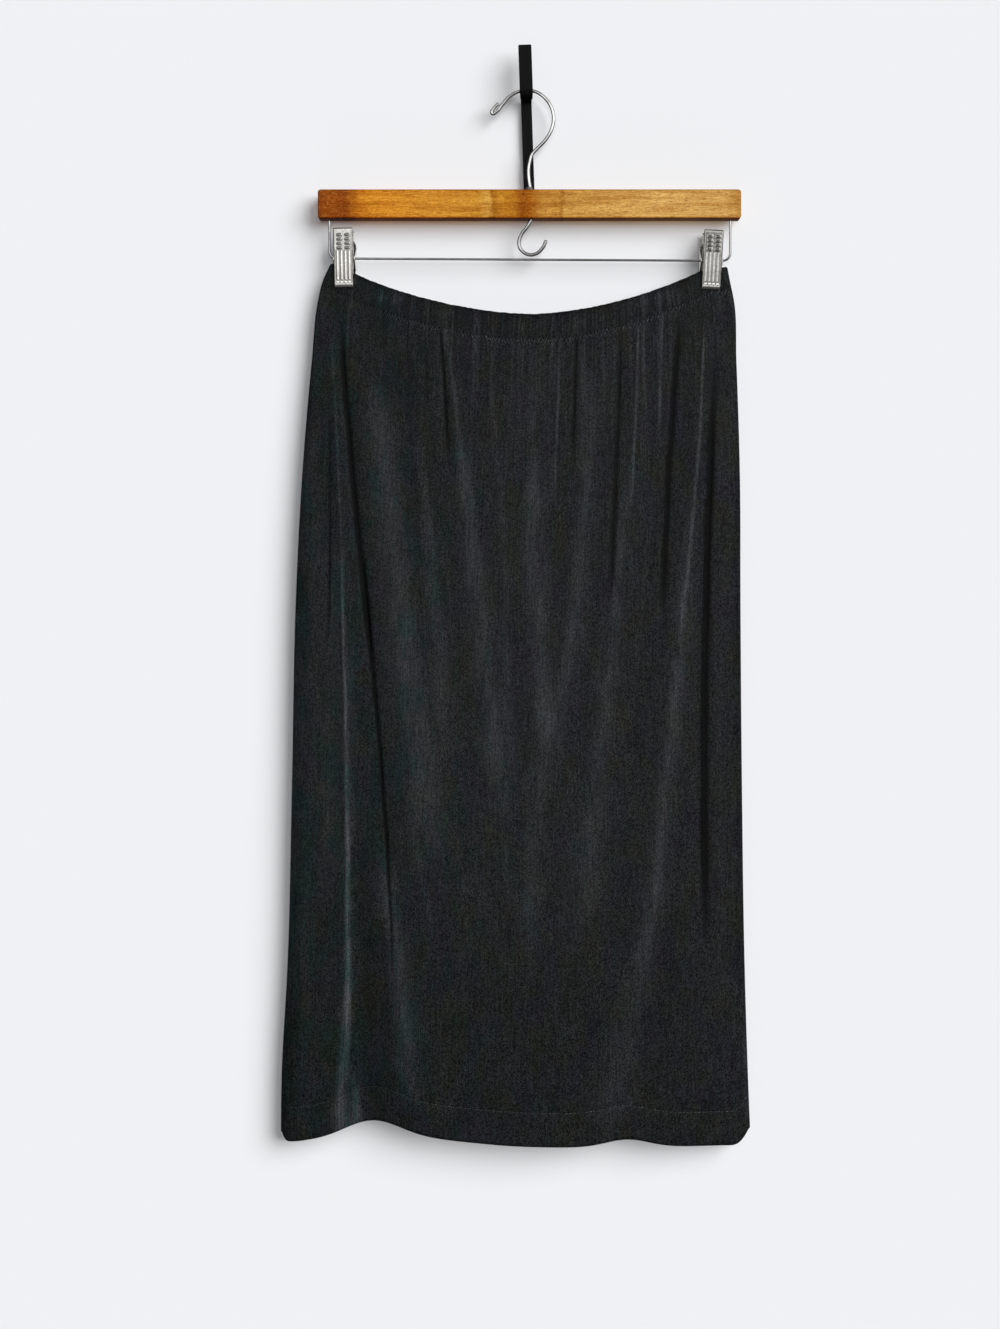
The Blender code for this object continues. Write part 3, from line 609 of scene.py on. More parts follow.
def jaw_grid(side, wider):
    """A jaw's outer face: across the flanges and the face by one parameter, down the profile by the
    other. Round corners join them, and the pressed relief stands out from the face. Returns the grid,
    and the painted lightness of each of its points, 1 on the flanges."""
    profile = np.array(JAW_PROFILE)[::-1] * MM
    height = np.linspace(profile[-1, 0], profile[0, 0], 150)[:, None]
    face, flange = (np.interp(height, profile[:, 0], profile[:, column]) for column in (1, 2))
    half = JAW_WIDTH / 2 + wider
    if side > 0:
        half = half - BACK_TAPER * soft_step(*BACK_TAPER_RUN, height)
    turn = np.linspace(0, np.pi / 2, 6)[None]
    fold_x = half - JAW_CORNER + JAW_CORNER * np.sin(turn)
    fold_back = JAW_CORNER * (1 - np.cos(turn)) + 0 * face
    flat_x = np.linspace(-1, 1, 60)[None, 1:-1] * (half - JAW_CORNER)
    wall_x = half + np.zeros((1, 6))
    wall_back = np.linspace(0, 1, 7)[None, 1:] * np.maximum(flange - JAW_CORNER, 0.1 * MM) + JAW_CORNER
    x = np.hstack([-wall_x[:, ::-1], -fold_x[:, ::-1], flat_x, fold_x, wall_x]) + 0 * face
    flat_back = 0 * flat_x + 0 * face
    back = np.hstack([wall_back[:, ::-1], fold_back[:, ::-1], flat_back, fold_back, wall_back])
    relief, painted_lightness = pressed_relief(x, height + 0 * x)
    faced = back < 0.2 * JAW_CORNER
    grid = np.stack([x, side * (face - back + relief * faced), height + 0 * x], axis=-1)
    return grid, np.where(faced, painted_lightness, 1)


def on_rail(points, clip_place):
    """Points made round the origin, turned and leaned as their clip is, at its place on the rail."""
    turn = Euler((0, math.radians(clip_place["lean"]), math.radians(clip_place["turn"]))).to_matrix()
    share = (clip_place["x"] - RAIL_LEFT[0]) / (RAIL_RIGHT[0] - RAIL_LEFT[0])
    height = RAIL_LEFT[1] + (RAIL_RIGHT[1] - RAIL_LEFT[1]) * share
    return points @ np.array(turn).T + (clip_place["x"], HANGER_Y, height)


def clip_jaw(clip_name, jaw, side, wider):
    """One pressed jaw on the rail, with its painted lightness kept for its finish."""
    grid, painted_lightness = jaw_grid(side, wider)
    points, quads, _ = sheet_wall(grid, JAW_SHEET, outward_of(grid, side), bulge=0.25)
    name = f"clip_{clip_name}_{jaw}_plate"
    piece = mesh_piece(name, on_rail(points, CLIPS[clip_name]), quads.tolist(), nickel, sharp=55)
    # the inner side and the rim get 0.25: painted shade
    keep_value(piece, "pressed", rest=0.25, grid=painted_lightness)
    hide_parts(f"clip_{clip_name}_{jaw}_jaw")
    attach(piece, "root")


def clip_spring(clip_name):
    """A wound spring round the rail: a helix, its legs lying against the jaws."""
    turn = np.linspace(0.25 * np.pi, (2 * SPRING_TURNS + 0.25) * np.pi, 300)
    place = (turn / (SPRING_TURNS * np.pi) - 1.04) * SPRING_HALF
    coil = np.column_stack([place, SPRING_RADIUS * np.sin(turn), SPRING_RADIUS * np.cos(turn)])
    legs = [end + (0, way * SPRING_LEG[0], SPRING_LEG[1]) for end, way in ((coil[0], 1), (coil[-1], -1))]
    line = [np.linspace(legs[0], coil[0], 12)[:-1], coil, np.linspace(coil[-1], legs[1], 12)[1:]]
    path, inset = round_ends(np.vstack(line), SPRING_WIRE, steps=3)
    rings = carried(path, (1, 0.2, 0.1), ring_section(SPRING_WIRE - inset, sides=8))
    piece = skin(f"clip_{clip_name}_coil", on_rail(rings, CLIPS[clip_name]), nickel, sharp=60)
    keep_value(piece, "pressed", rest=1)
    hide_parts(f"clip_{clip_name}_spring")
    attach(piece, "root")


for clip_name in CLIPS:
    clip_jaw(clip_name, "front", -1, 0)
    clip_jaw(clip_name, "back", 1, BACK_WIDER)
    clip_spring(clip_name)

# ---- Skirt's form -----------------------------------------------------------------------------
# The skirt hangs flat from the clips: two layers that lie close together under the elastic casing,
# then part into an open tube that is wider and deeper towards the hem.
CLOTH_GAP = 0.3 * MM
PANEL_HALF = 2 * MM
BAND_HALF = 2.6 * MM
BAND_MIDDLE_HEIGHT, BAND_CLIP_HEIGHT = 22 * MM, 19 * MM
TURN_REACH, TURN_WIDTH = 142 * MM, 18 * MM
PART_TOP, PART_LOW = -118 * MM, -260 * MM
TUBE_SQUARE, TUBE_ROUND = 3.2, 0.55
WAIST_LOW_X, WAIST_LOW_Z = 3.8 * MM, -136.4 * MM
WAIST_SAG = {
    # each side of the low point: reach to the clip, rise there, power of the curve, most it rises
    -1: {"reach": 158 * MM, "rise": 39 * MM, "power": 1.74, "most": 43.5 * MM},
    +1: {"reach": 152 * MM, "rise": 42.5 * MM, "power": 1.72, "most": 40.8 * MM},
}
WAIST_LEVEL, HEM_LEVEL, HEM_LOW_Z = -100 * MM, -825 * MM, -833 * MM
BACK_LOWER = 2 * MM
# half widths: of the waist, and of the knit's map and the run of gathers, which pass the sides
WAIST_HALF, CLOTH_REACH = 170 * MM, 200 * MM
SIDE_FADE = 0.03
SECTION_COLUMNS = ("height", "left", "right", "front", "back")
SECTIONS = (
    # height, left and right side of the skirt, bulge of its front and of its back (mm)
    (-835, -208.6, 187.6, 17, 6),
    (-780, -208, 185.4, 18, 6.2),
    (-680, -202.8, 182.4, 19.5, 6.4),
    (-530, -199.2, 180.2, 20, 6.4),
    (-376, -196, 179, 18.5, 6.2),
    (-275, -190.9, 178.6, 16, 6),
    (-174, -182.5, 175.6, 12, 5.6),
    (-123, -177.2, 173.5, 8.5, 5),
    (-108, -173.6, 170.4, 7.5, 4.8),
    (-92, -166.5, 167.3, 7, 4.5),
)
HEM_WAVES = (
    # middle, half width and height of the soft lifts of the hem's edge (mm)
    (-131, 33, 13.2), (-115, 78, 8.3), (82, 26, 6), (-209, 3.4, 9), (191, 10, 16),
)


def section(column, height):
    """One column of the section table at any height, as a smooth curve through its rows."""
    table = np.array(SECTIONS) * MM
    return smooth(height, table[:, 0], table[:, SECTION_COLUMNS.index(column)])


def across(u, height):
    """x of the place u, from -1 at the skirt's left side to 1 at its right side."""
    left, right = section("left", height), section("right", height)
    return (left + right) / 2 + u * (right - left) / 2


def waist_edge(u):
    """Height of the top edge: a power curve that sags between the clips and is level beyond them."""
    x = across(u, WAIST_LEVEL) - WAIST_LOW_X
    rise = np.zeros_like(x)
    for side, sag in WAIST_SAG.items():
        away = np.clip(side * x, 0, None) / sag["reach"]
        rise += np.minimum(sag["rise"] * away ** sag["power"], sag["most"])
    return WAIST_LOW_Z + rise


def band_height(u):
    """Height of the casing, a little less at the clips, where it leans in."""
    return BAND_MIDDLE_HEIGHT + (BAND_CLIP_HEIGHT - BAND_MIDDLE_HEIGHT) * u**2


def hem_edge(u):
    """Height of the bottom edge: its lowest level plus a bell for each lift."""
    x = across(u, HEM_LEVEL)
    middle, half, rise = (column[:, None] for column in (np.array(HEM_WAVES) * MM).T)
    return HEM_LOW_Z + (rise * bell(x - middle, half)).sum(axis=0)


def middle_plane(x, z):
    """y of the plane between the layers, turned a little with each clip."""
    y = HANGER_Y + 0 * x
    for place in CLIPS.values():
        off = x - place["x"]
        near = bell(off, TURN_WIDTH) * soft_step(PART_LOW, PART_TOP, z)
        y = y + math.tan(math.radians(place["turn"])) * off * near
    return y


def cloth_face(side, relief, u, z, half):
    """Points of a layer's outer face: off the middle plane by half, rounded at the sides, plus the
    section's bulge, which opens from a flat lens to a tube, plus the relief of folds and gathers."""
    x = across(u, z)
    round_share = half / ((section("right", z) - section("left", z)) / 2)
    turned = np.clip((1 - np.abs(u)) / round_share, 0, 1)
    rounded = np.sqrt(1 - (1 - turned) ** 2)
    held = np.clip(1 - (x / TURN_REACH) ** 2, 0, None)
    tube = (1 - np.abs(u) ** TUBE_SQUARE) ** TUBE_ROUND
    opened = soft_step(PART_TOP, PART_LOW, z)
    bulge = section("front" if side < 0 else "back", z) * (held + (tube - held) * opened)
    stand_off = CLOTH_GAP / 2 + (half - CLOTH_GAP / 2) * rounded + bulge
    stand_off = stand_off + relief * soft_step(0, SIDE_FADE, 1 - np.abs(u))
    return np.stack([x, middle_plane(x, z) + side * stand_off, z], axis=-1)


def cloth_places(half, columns):
    """Places u of a layer's columns: even steps, and short steps round each turned side."""
    reach = half / (section("right", WAIST_LEVEL) - section("left", WAIST_LEVEL)) * 2
    sides = reach * (1 - np.cos(np.radians(np.linspace(0, 90, 8))))
    middle = np.linspace(-1 + reach, 1 - reach, columns + 1)
    return np.concatenate([sides[:-1] - 1, middle, 1 - sides[-2::-1]])


def creases(rows, x, z):
    """How far creases stand out (a ridge) or go in (a trough): a bell across whose middle runs along
    a curve through three places and wanders a little, whose half width goes evenly from one end's
    to the other's, and whose height dies away softly at both ends."""
    height = 0
    for z_from, z_to, x_from, x_middle, x_to, half_from, half_to, high in np.array(rows) * MM:
        t = (z_from - z) / (z_from - z_to)
        middle = x_from * (1 - t) * (1 - 2 * t) + x_middle * 4 * t * (1 - t) + x_to * t * (2 * t - 1)
        middle = middle + 0.35 * MM * np.sin(z / (13 * MM) + x_from / MM) * np.sin(z / (47 * MM) + x_to / MM)
        half = half_from + (half_to - half_from) * np.clip(t, 0, 1)
        height = height + high * soft_step(0, 0.18, t) * soft_step(1, 0.8, t) * bell(x - middle, half)
    return height


def gathers(seed, spacing, half, high, run, u, below):
    """Fine upright gathers at uneven spacing across: each a narrow bell, strongest at the casing's
    stitching and dying away with the distance below it."""
    chance = np.random.default_rng(seed)
    places = np.cumsum(spacing * chance.uniform(0.55, 1.5, 400)) - CLOTH_REACH
    places = places[places < CLOTH_REACH]
    size = [chance.uniform(low, top, len(places)) for low, top in (half, high, run)]
    lean = chance.uniform(-0.05, 0.05, len(places))
    height = 0
    for place, wide, tall, long, slant in zip(places, *size, lean):
        drop = np.exp(-((below / long) ** 1.4))
        height = height + tall * bell(u * WAIST_HALF - place - slant * below, wide) * drop
    return height


def soft_folds(seed, count, x, below):
    """Many shallow folds at uneven places: bells that start at some distance below the casing, run in
    towards the middle as they go down, and die away again."""
    chance = np.random.default_rng(seed)
    height = 0
    for _ in range(count):
        start_x, wide = chance.uniform(-0.17, 0.165), chance.uniform(2.6 * MM, 6.5 * MM)
        start, long = chance.uniform(-0.03, 0.16), chance.uniform(0.14, 0.42)
        high = chance.choice((-1, 1)) * chance.uniform(0.12 * MM, 0.42 * MM)
        inward = 0.11 * math.tanh(start_x / 0.04) * (0.4 if abs(start_x) > 0.155 else 1)
        t = (below - start) / long
        ends = soft_step(0, 0.25, t) * soft_step(1, 0.6, t)
        height = height + high * ends * bell(x - start_x + inward * below, wide)
    return height


# One knit for all of the cloth: fine upright columns of stitches, black with a weak dull shine and a
# random glint in each stitch, in soft blotches of violet and olive, and of green-blue that is strongest
# towards the left, a little darker towards the hem. Painted sheen lies on the crests and painted shade
# in the hollows, as the cloth's crest value says.
STITCH_WIDE, STITCH_TALL = 0.85 * MM, 1 * MM
knit = Finish("black_slinky_knit", (0.012, 0.013, 0.0135), roughness=0.5, specular=0.05)
loop = knit.add("VectorMath", {0: knit.place((STITCH_WIDE, STITCH_TALL, 1), "knit")}, operation="FLOOR")
glint = knit.add("TexWhiteNoise", {"Vector": loop.outputs["Vector"]}, noise_dimensions="2D").outputs["Value"]
wales = knit.noise((0.0014, 0.03, 1), roughness=0.6, source="knit")
stitches = knit.noise((0.0012, 0.0017, 1), detail=2, roughness=0.7, source="knit")
green = knit.noise((0.015, 0.1, 0.036), detail=5, roughness=0.65)
violet = knit.noise((0.03, 0.3, 0.05), detail=4, roughness=0.65)
olive = knit.noise((0.02, 0.2, 0.035), detail=4, roughness=0.65)
cloudy = knit.noise((0.014, 0.2, 0.03), detail=4, roughness=0.65)
uneven = knit.ramp(knit.noise((0.011, 0.2, 0.04)), [(0.34, 0.55), (0.6, 1)])
# the cloth's painted light: painted sheen where above 0, painted shade where below
crest = knit.add("Attribute", attribute_name="crest").outputs["Fac"]
# painted shade in the hollows
painted_hollow_shade = knit.ramp(knit.math("MULTIPLY", crest, -1), [(0.05, 1), (1, 0.12)])
leftward = knit.along("X", 0, -0.12, 0.35, 0.8)
greenish = knit.math("MULTIPLY", leftward, knit.along("Z", -0.35, -0.6, 0.1, 0.13))
greenish = knit.ramp(knit.math("ADD", green, greenish), [(0.54, 0), (0.68, 1)])
tone = knit.ramp(cloudy, [(0.32, (0.0325, 0.035, 0.0355)), (0.68, (0.0445, 0.048, 0.05))])
tone = knit.mix(knit.ramp(olive, [(0.5, 0), (0.64, 0.8)]), tone, (0.97, 0.97, 0.68), "MULTIPLY")
tone = knit.mix(knit.ramp(violet, [(0.48, 0), (0.62, 0.8)]), tone, (0.94, 0.86, 1.18), "MULTIPLY")
tone = knit.times(tone, knit.ramp(glint, [(0, 0.02), (1, 0.59)]))
# painted sheen on the crests: a lighter colour mixed in
painted_sheen = knit.times((0.082, 0.084, 0.093), knit.ramp(glint, [(0, 0.4), (1, 1)]))
tone = knit.mix(knit.math("MULTIPLY", crest, uneven), tone, painted_sheen)
tone = knit.mix(knit.math("MULTIPLY", greenish, leftward), tone, (0.5, 0.92, 0.82), "MULTIPLY")
knit.set(
    Base_Color=knit.times(
        tone, knit.along("Z", -0.6, -0.8, 1, 0.98), knit.ramp(wales, [(0.34, 0.55), (0.6, 1)]), painted_hollow_shade
    ),
    Roughness=knit.ramp(cloudy, [(0.3, 0.44), (0.7, 0.54)]),
    Normal=knit.bump(stitches, 0.0003, 0.5, knit.bump(wales, 0.00025, 0.5)),
)


def cloth_piece(name, node, side, u, face, walls, crest):
    """A closed cloth wall on a grid of the outer face, with a map in metres along the knit, and its
    painted light kept for the finish: painted sheen above 0, painted shade below."""
    normal = outward_of(face, side)
    normal[:, 0], normal[:, -1] = (-1, 0, 0), (1, 0, 0)
    points, quads, rim = sheet_wall(face, walls[..., None], normal, bulge=0.35)
    piece = mesh_piece(name, points, quads.tolist(), knit, sharp=70)
    down = np.cumsum(np.linalg.norm(np.diff(face, axis=0, prepend=face[:1]), axis=2), axis=0)
    flat = np.stack([u * CLOTH_REACH + 0 * down, down], axis=-1).reshape(-1, 2)
    spots = np.vstack([flat, flat, flat[rim]]).astype(np.float32)
    corner = np.empty(len(piece.data.loops), np.int32)
    piece.data.loops.foreach_get("vertex_index", corner)
    piece.data.uv_layers.new(name="knit").data.foreach_set("uv", spots[corner].ravel())
    keep_value(piece, "crest", rest=0, grid=crest)
    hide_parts(node)
    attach(piece, "root")


# ---- Waistband --------------------------------------------------------------------------------
# A casing: the cloth's top edge turned down over a flat elastic and sewn round. The elastic draws
# the cloth up, so that the casing is covered with fine upright gathers and puffs out a little.
BAND_COLUMNS, BAND_ROWS = 640, 22
BAND_SHINE = (
    # where the casing catches the light: middle x and z, half width, half height (mm), how much
    (-121, -122, 14, 6, 0.55), (-150, -124, 10, 6, 0.25), (112, -121, 26, 7, 0.4),
    (-5, -150, 0.9, 5, 0.6), (1, -149, 0.8, 4, 0.5), (3, -148, 60, 5, 0.06),
)
BAND_PUFF, BAND_FOLD, BAND_PINCH = 0.45 * MM, 0.5 * MM, 0.2 * MM
BAND_WALL = 1.7 * MM
# the ripple of the top edge: spacing, half width, height and run of each wave
BAND_EDGE = (4 * MM, (1.2 * MM, 2.6 * MM), (0.1 * MM, 0.4 * MM), (1, 2))
BAND_GATHERS = {
    # seed, spacing, half width, height and run of each gather
    -1: (11, 2.3 * MM, (0.5 * MM, 1.1 * MM), (0.05 * MM, 0.36 * MM), (40 * MM, 60 * MM)),
    +1: (12, 2.5 * MM, (0.5 * MM, 1.1 * MM), (0.05 * MM, 0.34 * MM), (40 * MM, 60 * MM)),
}
# height of a gather at which it shines fully
TUCK_FULL = 0.3 * MM


def shine(rows, x, z):
    """Soft round patches where cloth catches the light: a bell both ways for each."""
    total = 0
    for middle_x, middle_z, half_x, half_z, amount in rows:
        total = total + amount * bell(x - middle_x * MM, half_x * MM) * bell(z - middle_z * MM, half_z * MM)
    return total


def band_side(side):
    """One side of the casing: gathers across, a puff that is highest at its mid height, a fold at
    the top edge and a pinch at the stitching. Returns its places u, its face and its painted light:
    painted highlights where it catches the light and on the gathers, painted shade between the gathers
    and along the top fold."""
    u = cloth_places(BAND_HALF, BAND_COLUMNS)
    share = (1 - np.cos(np.linspace(0.12, np.pi, BAND_ROWS)))[:, None] / 2
    share = (share - share[0]) / (1 - share[0])
    top = waist_edge(u) - (BACK_LOWER if side > 0 else 0)
    ripple = gathers(BAND_GATHERS[side][0] + 20, *BAND_EDGE, u, 0)
    z = top - ripple * (1 - share) ** 2 - band_height(u) * share
    tucks = gathers(*BAND_GATHERS[side], u, share * band_height(u))
    puff = BAND_PUFF * np.sin(np.pi * share) ** 0.7 - BAND_PINCH * share**6 - BAND_FOLD * (1 - share) ** 8
    fade = 0.55 + 0.45 * share
    face = cloth_face(side, puff + tucks * fade - 0.45 * MM, u + 0 * z, z, BAND_HALF)
    # painted highlights where the casing catches the light, and painted shade along its top fold
    crest = shine(BAND_SHINE, face[..., 0], z) - 0.45 * (1 - share) ** 7
    # painted highlights on the gathers, painted shade between them
    return u, face, crest + np.clip(1.2 * (tucks / TUCK_FULL - 0.5), -0.4, 0.14)


SIDES = {"front": -1, "back": 1}
# the places u and the outer face of each cloth, for the stitches to lie on
faces = {}
for layer, side in SIDES.items():
    u, face, crest = band_side(side)
    faces["band", side] = u, face
    walls = np.full(face.shape[:2], BAND_WALL)
    cloth_piece(f"waistband_{layer}_casing", f"waistband_{layer}", side, u, face, walls, crest)

# ---- Skirt panels -----------------------------------------------------------------------------
# A front and a back panel sewn at the sides, gathered into the casing. From the clips the cloth drops
# in long soft folds that run in towards the middle and die away above the hem.
PANEL_WALL, HEM_WALL = 1 * MM, 1.8 * MM
HEM_DEPTH = 28 * MM
FRONT_SWELLS = (
    # from, to, x at the start, middle and end, half width at the start and end, height (mm)
    (-160, -835, -166, -153.5, -157, 7, 9, 0.9),
    (-140, -700, -156, -134, -112, 6, 9, -1.2),
    (-250, -600, -121, -104, -84, 12, 18, 1.6),
    (-140, -470, -72, -53, -26, 5, 12, 1.2),
    (-290, -620, 11, 10, 2, 9, 15, 1),
    (-150, -520, 60, 42, 18, 6, 10, 1.1),
    (-130, -720, 90, 80, 32, 6, 13, 1.4),
    (-130, -720, 146, 124, 84, 6, 13, 1.8),
    (-150, -660, 154, 146, 146, 5, 8, -1.4),
    (-620, -990, -128, -132, -130, 20, 32, -5),
    (-640, -990, 10, 14, 22, 56, 64, 3),
    (-640, -990, 92, 84, 82, 20, 24, -3),
    (-230, -470, -98, -83, -66, 4, 8, 1),
    (-190, -400, -38, -26, -16, 4, 8, 0.8),
    (-420, -780, -75, -60, -66, 9, 15, 0.7),
    (-430, -760, -20, -14, -8, 7, 12, 0.6),
    (-630, -960, 98, 78, 66, 12, 20, 1.2),
    (-560, -840, -127, -110, -96, 8, 14, 1.8),
    (-500, -840, 172, 176, 180, 5, 8, 1),
    (-240, -1000, -179, -189, -199, 7, 8, 1.6),
    (-240, -1000, 168, 171, 176, 7, 8, 2),
)
FRONT_CREASES = (
    # sharp crests
    (-130, -400, -168, -159.3, -155, 0.8, 1.1, 0.3),
    (-320, -800, -157.6, -152, -152, 1.1, 2.5, 0.85),
    (-690, -860, -151, -156.5, -161, 2.4, 4.5, 0.5),
    (-776, -850, -146, -142.5, -139, 3, 5, 0.4),
    (-122, -430, 148.5, 140.3, 122.5, 0.85, 1.5, 0.48),
    (-400, -700, 124, 113, 94, 1.8, 3.2, 0.1),
    (-138, -300, 27.5, 24, 21, 0.8, 1.2, 0.42),
    (-128, -320, 91.8, 89.3, 83, 0.8, 1.3, 0.46),
    (-120, -250, 114, 111, 107.5, 0.8, 1.1, 0.32),
    (-135, -310, -71.5, -60, -49.5, 1.2, 2.8, 0.24),
    (-116, -200, -124.5, -123, -121.5, 0.8, 1.1, 0.2),
    # and sharp hollows
    (-130, -440, -159.5, -146.5, -129, 2.3, 2.3, -2.1),
    (-330, -700, -142, -123.5, -112.5, 2.1, 0.9, -1.7),
    (-190, -430, -168.3, -167, -168.5, 1, 1.4, -0.7),
    (-150, -700, 158, 148, 149, 3, 3.2, -1.9),
    (-122, -410, 129, 117.5, 111, 2.3, 3.2, -1.8),
    (-138, -390, 78, 73, 66.5, 1.6, 2.6, -1.35),
    (-138, -265, 40, 38.5, 36, 1.3, 2.2, -1.25),
    (-134, -260, -74.4, -71, -66.5, 1.2, 1.8, -1.2),
    (-132, -240, -103, -101, -99, 1.2, 2, -0.5),
    (-124, -205, -122, -122, -121, 1, 1.4, -0.55),
    (-140, -225, -87, -86, -85, 0.9, 1.6, -0.5),
)
FRONT_SHINE = (
    # where the cloth turns to the light, in the same columns, with how much in place of the height
    (-160, -620, -131, -106.5, -72, 10, 15, 400),
    (-210, -520, -94, -80, -67, 4, 7, 300),
    (-220, -570, -60.5, -40, -18, 4.5, 12, 380),
    (-180, -540, -33.5, -20, -17, 2.5, 3.5, 180),
    (-240, -530, 4, 7, 21, 7.5, 8, 370),
    (-150, -330, 1.5, 3, 6, 3, 5, 110),
    (-150, -520, 48, 43.5, 16, 5, 8, 300),
    (-430, -670, 20, 8, -1, 7, 9, 170),
    (-230, -690, 88, 65.5, 38, 4, 10.5, 330),
    (-280, -720, 136.5, 118, 92, 6, 9, 310),
    (-640, -830, 98, 84, 62, 10, 14, 190),
    (-580, -810, -125, -107, -101, 7, 9, 430),
    (-540, -660, -101, -90, -77, 2.5, 3.5, 160),
    (-500, -700, -2, 0, 1, 3, 4, 110),
    (-520, -640, -22, -20, -18, 2.5, 3, 100),
    (-700, -830, 180, 182.5, 184, 2.5, 2.5, 180),
    (-300, -830, 163, 162, 170, 5, 6, 80),
    (-145, -260, -2, -2, -2, 22, 22, 80),
    (-190, -760, -184, -195, -203, 10, 12, 260),
    (-300, -640, -163, -165, -168, 9, 10, 200),
    (-380, -740, -151, -149, -149, 4.5, 5, 210),
    (-785, -872, -153, -147, -144, 8, 7, 420),
    (-120, -720, 20, 10, 0, 90, 110, 60),
    # and where it turns away
    (-560, -740, -140, -136, -131, 6, 8, -380),
    (-690, -850, -136, -128, -122, 10, 12, -330),
    (-150, -330, -98, -92, -86, 7, 6, -160),
)
BACK_SWELLS = (
    (-140, -690, -150, -138, -122, 8, 12, -2),
    (-140, -560, -92, -70, -46, 10, 14, 1.6),
    (-150, -480, 6, 2, 6, 10, 15, -1.8),
    (-140, -600, 86, 70, 48, 10, 14, 1.6),
    (-150, -650, 146, 138, 128, 8, 12, -2),
    (-640, -990, -96, -104, -110, 28, 32, -2.6),
    (-640, -990, 106, 112, 118, 24, 28, -2.4),
)
BACK_CREASES = (
    (-130, -640, -164, -156, -150, 1.2, 2, 0.7),
    (-145, -600, -151, -139, -125, 2.4, 3, -1.6),
    (-140, -400, -116, -104, -92, 1.4, 2.6, 0.5),
    (-135, -330, -40, -34, -26, 1.3, 2.4, 0.45),
    (-140, -420, 5, 2, 5, 2.4, 4, -1.2),
    (-150, -370, 38, 34, 26, 1.4, 2.6, 0.4),
    (-135, -440, 120, 112, 100, 1.3, 2.4, 0.55),
    (-155, -600, 147, 139, 130, 2.4, 3, -1.6),
    (-130, -520, 160, 152, 146, 1.2, 2, 0.7),
)
BACK_SHINE = (
    (-160, -560, -92, -70, -46, 7, 11, 200),
    (-160, -600, 86, 70, 48, 7, 11, 200),
)
# height of a crest that shines fully, and depth of a hollow that is fully in shade
CREST_FULL, HOLLOW_FULL = 0.75 * MM, 1.5 * MM
PANEL_GATHERS = {
    # seed, spacing, half width, height and run of each gather
    -1: (11, 2.3 * MM, (0.7 * MM, 1.7 * MM), (0.05 * MM, 0.34 * MM), (6 * MM, 70 * MM)),
    +1: (12, 2.5 * MM, (0.7 * MM, 1.7 * MM), (0.05 * MM, 0.34 * MM), (6 * MM, 60 * MM)),
}
PANELS = {
    # folds, seed of the shallow folds, columns of the grid
    "front": ((FRONT_SWELLS, FRONT_CREASES, FRONT_SHINE), 41, 590),
    "back": ((BACK_SWELLS, BACK_CREASES, BACK_SHINE), 42, 400),
}
PANEL_ROWS, ROWS_GATHER = 60, 1.45
# rows of the grid across the hem's stitching, from 0 at the stitching itself (mm)
HEM_STEPS = (1.1, 0.7, 0.3, 0, -0.3, -0.7, -1.2, -3)
WANDER_HIGH = 0.5 * MM
SEAM_PINCH, SEAM_PINCH_HALF = 0.3 * MM, 2 * MM
HEM_PINCH, HEM_PINCH_HALF, HEM_PUCKER = 0.4 * MM, 1 * MM, 3.2 * MM


def panel_side(side, folds, seed, columns):
    """One panel down to the hem: the creases, the gathers under the casing, a pinch at its stitching
    and at the hem's, and a slight wander of the whole cloth. Its rows lie closer together near the
    gathers and at the hem's stitching. Returns its places u, its face, its walls and its painted light:
    painted sheen on the sharp crests, where it turns to the light and on the gathers, painted shade in
    the hollows, where it turns away, between the gathers and close under the casing."""
    swells, sharp, turned_to_light = folds
    u = cloth_places(PANEL_HALF, columns)
    lower = BACK_LOWER if side > 0 else 0
    top = waist_edge(u) - lower - band_height(u) - 0.12 * MM
    stitching = hem_edge(u) - lower + HEM_DEPTH
    share = np.linspace(0, 1, PANEL_ROWS)[:, None] ** ROWS_GATHER
    upper = top + (stitching + 1.5 * MM - top) * share
    turned = np.linspace(-6, -28, 9)[:, None] * MM
    z = np.vstack([upper, stitching + np.array(HEM_STEPS)[:, None] * MM, stitching + turned])
    x = across(u, z)
    crest = creases(sharp, x, z)
    tucks = gathers(*PANEL_GATHERS[side], u + 0 * z, top - z)
    relief = creases(swells, x, z) + crest + soft_folds(seed, 60, x, top - z) + tucks
    wander = np.sin(x / 0.013 + 3 * np.sin(z / 0.09)) * np.sin(z / 0.11 + x / 0.05)
    relief = relief + WANDER_HIGH * wander * soft_step(-0.15, -0.3, z)
    relief = relief + 0.1 * MM - SEAM_PINCH * bell(top - z, SEAM_PINCH_HALF)
    dimple = 0.7 + 0.3 * np.cos(2 * np.pi * x / HEM_PUCKER)
    relief = relief - HEM_PINCH * dimple * bell(z - stitching, HEM_PINCH_HALF)
    walls = PANEL_WALL + (HEM_WALL - PANEL_WALL) * soft_step(stitching, stitching - 0.8 * MM, z)
    # painted light: sheen on the crests and shade in the hollows, plus the listed patches that turn to the
    # light or away
    crest = np.where(crest > 0, crest / CREST_FULL, crest / HOLLOW_FULL) + creases(turned_to_light, x, z)
    # painted light and shade of the gathers, darker close under the casing
    painted_gather_light = np.minimum(tucks / TUCK_FULL - 0.6 * np.exp(-(top - z) / (40 * MM)), 0.6)
    crest = crest + 0.4 * painted_gather_light * (crest > -0.3)
    return u, cloth_face(side, relief, u + 0 * z, z, PANEL_HALF), walls, crest


for layer, panel in PANELS.items():
    side = SIDES[layer]
    u, face, walls, crest = panel_side(side, *panel)
    faces["panel", side] = u, face
    cloth_piece(f"skirt_{layer}_panel", f"skirt_{layer}", side, u, face, walls, crest)

